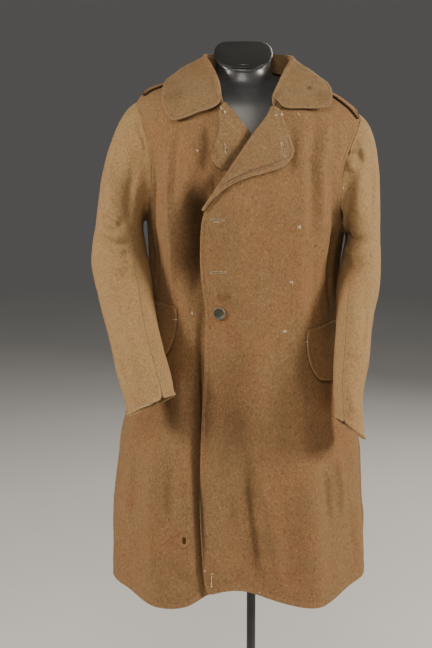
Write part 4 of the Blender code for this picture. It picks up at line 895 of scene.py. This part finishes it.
cloths = {
    # node: piece, material, subdivision, shape, free edges, flat width and length, what it rests on
    "back": ("coat_back", "body cloth", 2, "body", atHem, (0.78, 1.12), "dress_form"),
    "front_left": ("outer_front", "front cloth", 3, "body", atEdges, (0.50, 1.12), "dress_form inner_front"),
    "front_right": ("inner_front", "front cloth", 3, "body", atEdges, (0.52, 1.12), "dress_form"),
    "top_sleeve_left": ("top_sleeve_L", "sleeve cloth", 3, "left", atCuff, (0.26, 0.64), "dress_form"),
    "top_sleeve_right": ("top_sleeve_R", "sleeve cloth", 3, "right", atCuff, (0.30, 0.64), "dress_form"),
    "under_sleeve_left": ("under_sleeve_L", "sleeve cloth", 2, "left", atCuff, (0.17, 0.52), "dress_form"),
    "under_sleeve_right": ("under_sleeve_R", "sleeve cloth", 2, "right", atCuff, (0.18, 0.52), "dress_form"),
    "collar": ("turned_collar", "collar cloth", 2, "body", atCollar, (0.54, 0.16), "coat_back"),
    "lapel_left": ("lapel_outer", "collar cloth", 3, "body", allRound, (0.14, 0.24), "outer_front"),
    "lapel_right": ("lapel_inner", "collar cloth", 3, "body", allRound, (0.11, 0.16), "inner_front"),
    "pocket_flap_left": ("pocket_flap_L", "front cloth", 3, "body", allRound, (0.12, 0.12), "outer_front"),
    "pocket_flap_right": ("pocket_flap_R", "front cloth", 3, "body", allRound, (0.12, 0.12), "inner_front"),
    "shoulder_strap_left": ("strap_L", "body cloth", 3, "body", allRound, (0.045, 0.14), "outer_front"),
    "shoulder_strap_right": ("strap_R", "body cloth", 3, "body", allRound, (0.045, 0.12), "inner_front"),
}
frontEdge = {
    # the outer front's edge stands off the inner one, held down by the button
    "lift": 0.003,
    "wide": 0.030,
    "top": 1.24,
    "topFade": 0.10,
    "bottom": 0.47,
    "bottomFade": 0.05,
    "held": 0.035,
    "sideX": 0.10,
}
piping = {"wide": 0.0045, "dark": 0.95}  # round the shoulder straps
rubbed = 0.0022                          # width of the rubbed line on an edge
made = {}


# turned edges with the sewn line beside them, on the side away from the body
def turnedEdge(mesh, out, far, thick):
    normals = np.empty(len(out) * 3)
    mesh.vertices.foreach_get("normal", normals)
    outside = np.sum(normals.reshape(-1, 3) * out, axis=1) > 0
    edge = thick * easing((surface["edgeWide"] - far) / surface["edgeStep"])
    groove = np.exp(-(((far - surface["edgeWide"]) / surface["grooveWide"]) ** 2))
    return (edge - surface["grooveDeep"] * groove) * outside


def frontLift(points, far):
    top = easing((frontEdge["top"] - points[:, 2]) / frontEdge["topFade"])
    bottom = easing((points[:, 2] - frontEdge["bottom"]) / frontEdge["bottomFade"])
    free = 1 - np.exp(-(((points[:, 2] - buttonPlace[2]) / frontEdge["held"]) ** 2))
    near = np.exp(-((far / frontEdge["wide"]) ** 2)) * (points[:, 0] < frontEdge["sideX"])
    return frontEdge["lift"] * near * top * bottom * free


def makeCloth(node):
    piece, cloth, levels, shape, isFree, flat, under = cloths[node]
    obj = mergedCopy(node, piece)
    area = sum(p.area for p in obj.data.polygons) / 2
    softenRims(obj, isFree)
    subdivide(obj, levels)
    mesh = obj.data
    points = pointsOf(mesh)
    far = edgeDistance(mesh, points, isFree)
    if shape == "body":
        out = bodyOut(points)
        move = bodyShape(points, node)
        darkMarksAndShade = spotSoil(points, soilSpots["body"], upperSolids)
        if node in ("front_left", "front_right", "back"):
            # painted shade along the deep folds and gaps of the front and back pieces
            darkMarksAndShade = np.maximum(darkMarksAndShade, foldShade(points))
        thick = surface["edgeThick"]
    else:
        out = sleeveOut(points, shape)
        move = sleeveShape(points, shape)
        darkMarksAndShade = spotSoil(points, soilSpots["sleeve"], sleeveSolids[shape])
        thick = surface["cuffThick"]
    move += out * turnedEdge(mesh, out, far, thick)[:, None]
    if node == "front_left":
        move += out * frontLift(points, far)[:, None]
    setPoints(mesh, points + move)
    wear = np.exp(-((far / rubbed) ** 2))
    if node.startswith("shoulder_strap"):
        darkMarksAndShade = np.maximum(darkMarksAndShade, piping["dark"] * np.exp(-((far / piping["wide"]) ** 2)))
        wear = np.zeros(len(points))
    setAttribute(mesh, "edgeWear", wear)
    setAttribute(mesh, "darkMarksAndShade", darkMarksAndShade)
    only(obj)
    bpy.ops.object.shade_smooth_by_angle(angle=rims["sharp"])
    mesh.materials.append(materials[cloth])
    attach(obj, "root")
    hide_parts(node)
    made[node] = (obj, area, flat, under.split())


for node in cloths:
    makeCloth(node)
print("cloth pieces made:", len(made), "faces", sum(len(row[0].data.polygons) for row in made.values()))

frontNodes = ("front_left", "front_right", "lapel_left", "lapel_right", "collar", "pocket_flap_left",
              "pocket_flap_right")
fronts = treeOf([made[node][0].data for node in frontNodes])
sleeveCloth = {
    side: treeOf([made["top_sleeve_" + side][0].data, made["under_sleeve_" + side][0].data])
    for side in ("left", "right")
}

hardPieces = (
    # node, piece, finish, slot, edges sharper than this stay sharp
    ("dress_form", "form_body", "form", "form_skin", 70),
    ("neck_cap", "form_neck_plate", "cap", "form_cap", 60),
    ("pole", "form_pole", "pole", "pole_metal", 35),
    ("base_plate", "form_base", "pole", "base_metal", 35),
    ("button", "waist_button", "horn", "button_horn", 60),
)
hardEdge = {"crease": 0.9, "levels": 2, "smooth": math.radians(40)}


# a smooth copy of a hard piece
def makeHard(node, name, finish, slot, sharp):
    obj = mergedCopy(node, name)
    bm = bmesh.new()
    bm.from_mesh(obj.data)
    crease = bm.edges.layers.float.get("crease_edge") or bm.edges.layers.float.new("crease_edge")
    for edge in bm.edges:
        if edge.calc_face_angle(0) > math.radians(sharp):
            edge[crease] = hardEdge["crease"]
    bm.to_mesh(obj.data)
    bm.free()
    subdivide(obj, hardEdge["levels"])
    only(obj)
    bpy.ops.object.shade_smooth_by_angle(angle=hardEdge["smooth"])
    obj.data.materials.append(materials[finish])
    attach(obj, "root")
    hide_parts(node)


for row in hardPieces:
    makeHard(*row)
print("form, stand and button made")


threadShape = {"end": 0.55, "low": 0.3, "arch": 0.9}  # ends thinner; a stitch's rise, in radii


# a thread along points, as a thin tube
def threadAlong(points, radius, sides=5):
    points = [Vector(p) for p in points]
    turns = [2 * math.pi * k / sides for k in range(sides)]
    bm = bmesh.new()
    rings = []
    for i, p in enumerate(points):
        run = (points[min(i + 1, len(points) - 1)] - points[max(i - 1, 0)]).normalized()
        turn = run.to_track_quat("Z", "Y").to_matrix()
        size = radius * (threadShape["end"] if i in (0, len(points) - 1) else 1)
        spots = [turn @ Vector((math.cos(a), math.sin(a), 0)) * size for a in turns]
        rings.append([bm.verts.new(p + spot) for spot in spots])
    for a, b in zip(rings[:-1], rings[1:]):
        for k in range(sides):
            bm.faces.new((a[k], a[(k + 1) % sides], b[(k + 1) % sides], b[k]))
    bm.faces.new(rings[0][::-1])
    bm.faces.new(rings[-1])
    mesh = bpy.data.meshes.new("thread")
    bm.to_mesh(mesh)
    bm.free()
    return mesh


def joinMeshes(name, meshes, finish):
    bm = bmesh.new()
    for mesh in meshes:
        bm.from_mesh(mesh)
        bpy.data.meshes.remove(mesh)
    joined = bpy.data.meshes.new(name)
    bm.to_mesh(joined)
    bm.free()
    for polygon in joined.polygons:
        polygon.use_smooth = True
    joined.materials.append(materials[finish])
    obj = bpy.data.objects.new(name, joined)
    bpy.context.scene.collection.objects.link(obj)
    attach(obj, "root")


# a stitch lying on the cloth between two places in the picture
def stitchBetween(a, b, tree, radius, lift=0.0, points=5):
    line = []
    for i in range(points):
        t = i / (points - 1)
        spot, facing = seenAt(a[0] + (b[0] - a[0]) * t, a[1] + (b[1] - a[1]) * t, tree)
        rise = threadShape["low"] + threadShape["arch"] * math.sin(math.pi * t)
        line.append(spot + facing * (radius * rise + lift))
    return threadAlong(line, radius)


rand = random.Random(41)

# worked buttonholes: two rows of stitches with a bar at each end, in pixels of the picture
buttonholes = {
    "places": (
        ((211.0, 220.2), (224.0, 219.8)),
        ((211.2, 272.8), (226.0, 272.2)),
        ((281.4, 142.4), (284.6, 156.2)),
    ),
    "stitches": 17,
    "worn": 0.16,           # share of the stitches that is gone
    "uneven": 0.15,
    "foot": (0.12, 0.3),    # how far a stitch starts and ends from the slit
    "head": (1.05, 1.5),
    "barHalf": 1.2,
    "barAway": 0.35,
    "radius": 0.00038,      # metres, as the rest
    "barRadius": 0.00034,
    "barLift": 0.0002,
    "slitRadius": 0.00045,
    "slitLift": -0.0001,
}


def makeButtonholes():
    parts = []
    slitShades = []
    count = buttonholes["stitches"]
    uneven = buttonholes["uneven"]
    for start, end in buttonholes["places"]:
        a = Vector(start)
        b = Vector(end)
        run = (b - a).normalized()
        side = Vector((-run.y, run.x))
        for row in (-1, 1):
            for i in range(count):
                if rand.random() < buttonholes["worn"]:
                    continue
                spot = a.lerp(b, (i + 0.5) / count) + run * rand.uniform(-uneven, uneven)
                foot = spot + side * row * rand.uniform(*buttonholes["foot"])
                head = spot + side * row * rand.uniform(*buttonholes["head"])
                parts.append(stitchBetween(foot, head, fronts, buttonholes["radius"]))
        half = side * buttonholes["barHalf"]
        for bar in (a - run * buttonholes["barAway"], b + run * buttonholes["barAway"]):
            parts.append(stitchBetween(bar - half, bar + half, fronts, buttonholes["barRadius"],
                                       buttonholes["barLift"]))
        # a near-black tube along each slit is painted shade in the opening
        slitShades.append(stitchBetween(a, b, fronts, buttonholes["slitRadius"], buttonholes["slitLift"], 9))
    joinMeshes("buttonhole_stitches", parts, "thread")
    joinMeshes("buttonhole_slit_shade", slitShades, "dark thread")


# ends of thread where buttons are missing: place in the picture, strands, length in metres
threadTufts = (
    ((299.0, 227.0), 9, 0.0060), ((291.7, 283.0), 7, 0.0060), ((284.3, 331.5), 8, 0.0055),
    ((197.0, 151.0), 6, 0.0045), ((192.6, 312.5), 6, 0.0050), ((224.4, 112.5), 6, 0.0045),
    ((281.2, 114.2), 8, 0.0050), ((276.0, 114.8), 5, 0.0040), ((299.0, 114.0), 4, 0.0040),
    ((226.4, 147.0), 5, 0.0045), ((204.4, 570.4), 5, 0.0030), ((211.5, 586.0), 5, 0.0035),
    ((212.0, 573.5), 3, 0.0030), ((259.0, 593.0), 3, 0.0030),
)
sleeveTuft = ((342.5, 188), 5, 0.004)
strand = {
    "radius": 0.00055,
    "points": 6,
    "spread": 0.0012,  # the strands start this near each other
    "foot": 0.0003,
    "run": 0.55,       # shares of the length
    "rise": 0.35,
    "droop": 0.6,
    "bend": 0.5,
}


def tuftAt(spot, facing, strands, length):
    parts = []
    for _ in range(strands):
        turn = rand.uniform(0, 2 * math.pi)
        flat = Vector((math.cos(turn), 0, math.sin(turn)))
        flat = (flat - facing * flat.dot(facing)).normalized()
        bend = facing.cross(flat) * rand.uniform(-strand["bend"], strand["bend"])
        start = spot + flat * rand.uniform(0, strand["spread"])
        line = []
        for k in range(strand["points"]):
            t = k / (strand["points"] - 1)
            rise = strand["foot"] + length * strand["rise"] * t * (1 - strand["droop"] * t)
            line.append(start + flat * length * strand["run"] * t + bend * length * t * t + facing * rise)
        parts.append(threadAlong(line, strand["radius"], 4))
    return parts


def makeTufts():
    parts = []
    for tree, tufts in ((fronts, threadTufts), (sleeveCloth["left"], (sleeveTuft,))):
        for place, strands, length in tufts:
            parts += tuftAt(*seenAt(*place, tree), strands, length)
    joinMeshes("thread_ends", parts, "thread")


# threads lying along the cloth: places in the picture, radius in metres, finish
laidThreads = (
    (((217.5, 189.5), (232, 181.8), (250, 172.6), (270, 167.2), (287.5, 161.5)), 0.00045, "brown thread"),
    (((219.5, 186.5), (233, 178.8), (251, 170.0), (270, 164.6), (285.0, 158.5)), 0.00040, "dark thread"),
    (((211.6, 575.5), (211.5, 581), (211.8, 586.5)), 0.00050, "thread"),
    (((172.9, 319.9), (175.6, 319.4), (178.2, 319.8)), 0.00060, "thread"),
    (((305.4, 341.9), (306.8, 342.1), (308.4, 341.8)), 0.00060, "thread"),
    (((224.6, 143.2), (225.8, 146.6), (225.2, 150.6), (226.4, 154.4)), 0.00042, "thread"),
    (((213.5, 222.5), (217, 222.0), (220.6, 222.6)), 0.00034, "thread"),
    (((219.2, 105.2), (221.2, 108.4), (223.2, 110.8)), 0.00050, "thread"),
)
laidSteps = 6    # points on each stretch
laidRise = 0.6   # in radii
# the loose thread along the right cuff: start and run in the picture, then metres
cuffThread = {"start": (138, 408.2), "run": (15.6, -4.8), "points": 9, "radius": 0.00042, "rise": 0.0003}


def makeLaidThreads():
    groups = {}
    for line, radius, finish in laidThreads:
        points = []
        for (ax, ay), (bx, by) in zip(line[:-1], line[1:]):
            for k in range(laidSteps):
                t = k / laidSteps
                spot, facing = seenAt(ax + (bx - ax) * t, ay + (by - ay) * t, fronts)
                points.append(spot + facing * radius * laidRise)
        groups.setdefault(finish, []).append(threadAlong(points, radius))
    points = []
    for k in range(cuffThread["points"]):
        px, py = (start + run * k / (cuffThread["points"] - 1)
                  for start, run in zip(cuffThread["start"], cuffThread["run"]))
        spot, facing = seenAt(px, py, sleeveCloth["right"])
        points.append(spot + facing * cuffThread["rise"] * (1 + k % 2))
    groups["thread"].append(threadAlong(points, cuffThread["radius"]))
    for finish, meshes in groups.items():
        joinMeshes("laid_" + finish.replace(" ", "_"), meshes, finish)


# metal hooks and eyes: middle in the picture, width and height in metres
wireLoops = (
    ((226.2, 147.2), 0.0042, 0.0050),
    ((281.6, 112.6), 0.0040, 0.0044),
    ((221.8, 111.0), 0.0038, 0.0042),
)
wire = {"radius": 0.0005, "lift": 0.0012, "from": -60, "turn": 300, "points": 15}


def makeHooks():
    hooks = []
    for place, wide, high in wireLoops:
        spot, facing = seenAt(*place, fronts)
        turn = facing.to_track_quat("Z", "Y").to_matrix()
        loop = []
        for k in range(wire["points"]):
            a = math.radians(wire["from"] + wire["turn"] * k / (wire["points"] - 1))
            loop.append(spot + turn @ Vector((math.cos(a) * wide / 2, math.sin(a) * high / 2, wire["lift"])))
        hooks.append(threadAlong(loop, wire["radius"], 6))
    joinMeshes("hooks_and_eyes", hooks, "wire")


hem = {
    # in pixels of the picture
    "from": 120,
    "to": 360,
    "step": 4.3,
    "stitch": 2.8,
    "above": 4.6,         # over the hem's lower edge
    "uneven": 0.3,
    "jump": 4,            # no stitch where the edge drops more than this
    "slit": (203, 211),   # no stitch where the two fronts part
    "low": 625.0,         # the edge is looked for from here upwards
    "high": 540.0,
    "look": 0.4,
    "radius": 0.00030,    # metres
}


# the lowest place in the picture where the coat shows in this column
def hemBelow(px):
    py = hem["low"]
    while py > hem["high"]:
        if hitAt(px, py, fronts) is not None:
            return py
        py -= hem["look"]
    return None


def makeHemStitches():
    parts = []
    px = hem["from"]
    while px < hem["to"]:
        ends = [hemBelow(px), hemBelow(px + hem["stitch"])]
        inSlit = hem["slit"][0] < px < hem["slit"][1]
        if None not in ends and abs(ends[0] - ends[1]) < hem["jump"] and not inSlit:
            a = (px, ends[0] - hem["above"] + rand.uniform(-hem["uneven"], hem["uneven"]))
            b = (px + hem["stitch"], ends[1] - hem["above"] + rand.uniform(-hem["uneven"], hem["uneven"]))
            if all(hitAt(*end, fronts) is not None for end in (a, b)):
                parts.append(stitchBetween(a, b, fronts, hem["radius"]))
        px += hem["step"]
    joinMeshes("hem_stitches", parts, "hem thread")


# lint and short fibres caught in the nap
lint = {
    "count": 150,
    "seed": 12,
    "across": (100, 378),     # where it lies, in pixels of the picture
    "down": (90, 600),
    "length": 0.0022,
    "lengths": (0.4, 1.2),
    "radius": 0.00020,
    "radii": (0.7, 1.6),
    "arch": 2.2,              # in radii
}


def makeLint():
    pick = random.Random(lint["seed"])
    fibres = []
    for _ in range(lint["count"]):
        place = (pick.uniform(*lint["across"]), pick.uniform(*lint["down"]))
        trees = (fronts, sleeveCloth["left"], sleeveCloth["right"])
        hits = [tree.ray_cast(camPlace, lineOfSight(*place)) for tree in trees]
        hits = [hit for hit in hits if hit[0] is not None]
        if not hits:
            continue
        spot, facing = hits[0][:2]
        turn = pick.uniform(0, 2 * math.pi)
        run = facing.cross(Vector((math.cos(turn), 0.2, math.sin(turn)))).normalized()
        half = run * lint["length"] * pick.uniform(*lint["lengths"]) / 2
        rise = facing * lint["radius"]
        line = (spot + rise - half, spot + rise * lint["arch"], spot + rise + half)
        fibres.append(threadAlong(line, lint["radius"] * pick.uniform(*lint["radii"]), 4))
    joinMeshes("lint", fibres, "thread")


makeButtonholes()
makeTufts()
makeLaidThreads()
makeHooks()
makeHemStitches()
makeLint()
print("buttonholes, threads, hooks and lint made")

floorLook = {"size": 14, "scale": 1.2, "tone": (0.60, 0.60, 0.60), "other": (0.64, 0.64, 0.64), "rough": 0.8}


def makeFloor():
    bpy.ops.mesh.primitive_plane_add(size=floorLook["size"], location=(0, 0, 0))
    floor = bpy.context.object
    floor.name = "floor"
    look = Finish("pale floor")
    cloud = look.ramp(look.noise(floorLook["scale"], 3, 0.5), 0.2, 0.8)
    colour = look.mix(cloud, floorLook["tone"], floorLook["other"])
    look.put(look.shader.inputs["Base Color"], colour)
    look.shader.inputs["Roughness"].default_value = floorLook["rough"]
    floor.data.materials.append(look.material)


makeCamera()
makeLamps()
makeFloor()
print("camera, lamps and floor made")

print("greatcoat ready")
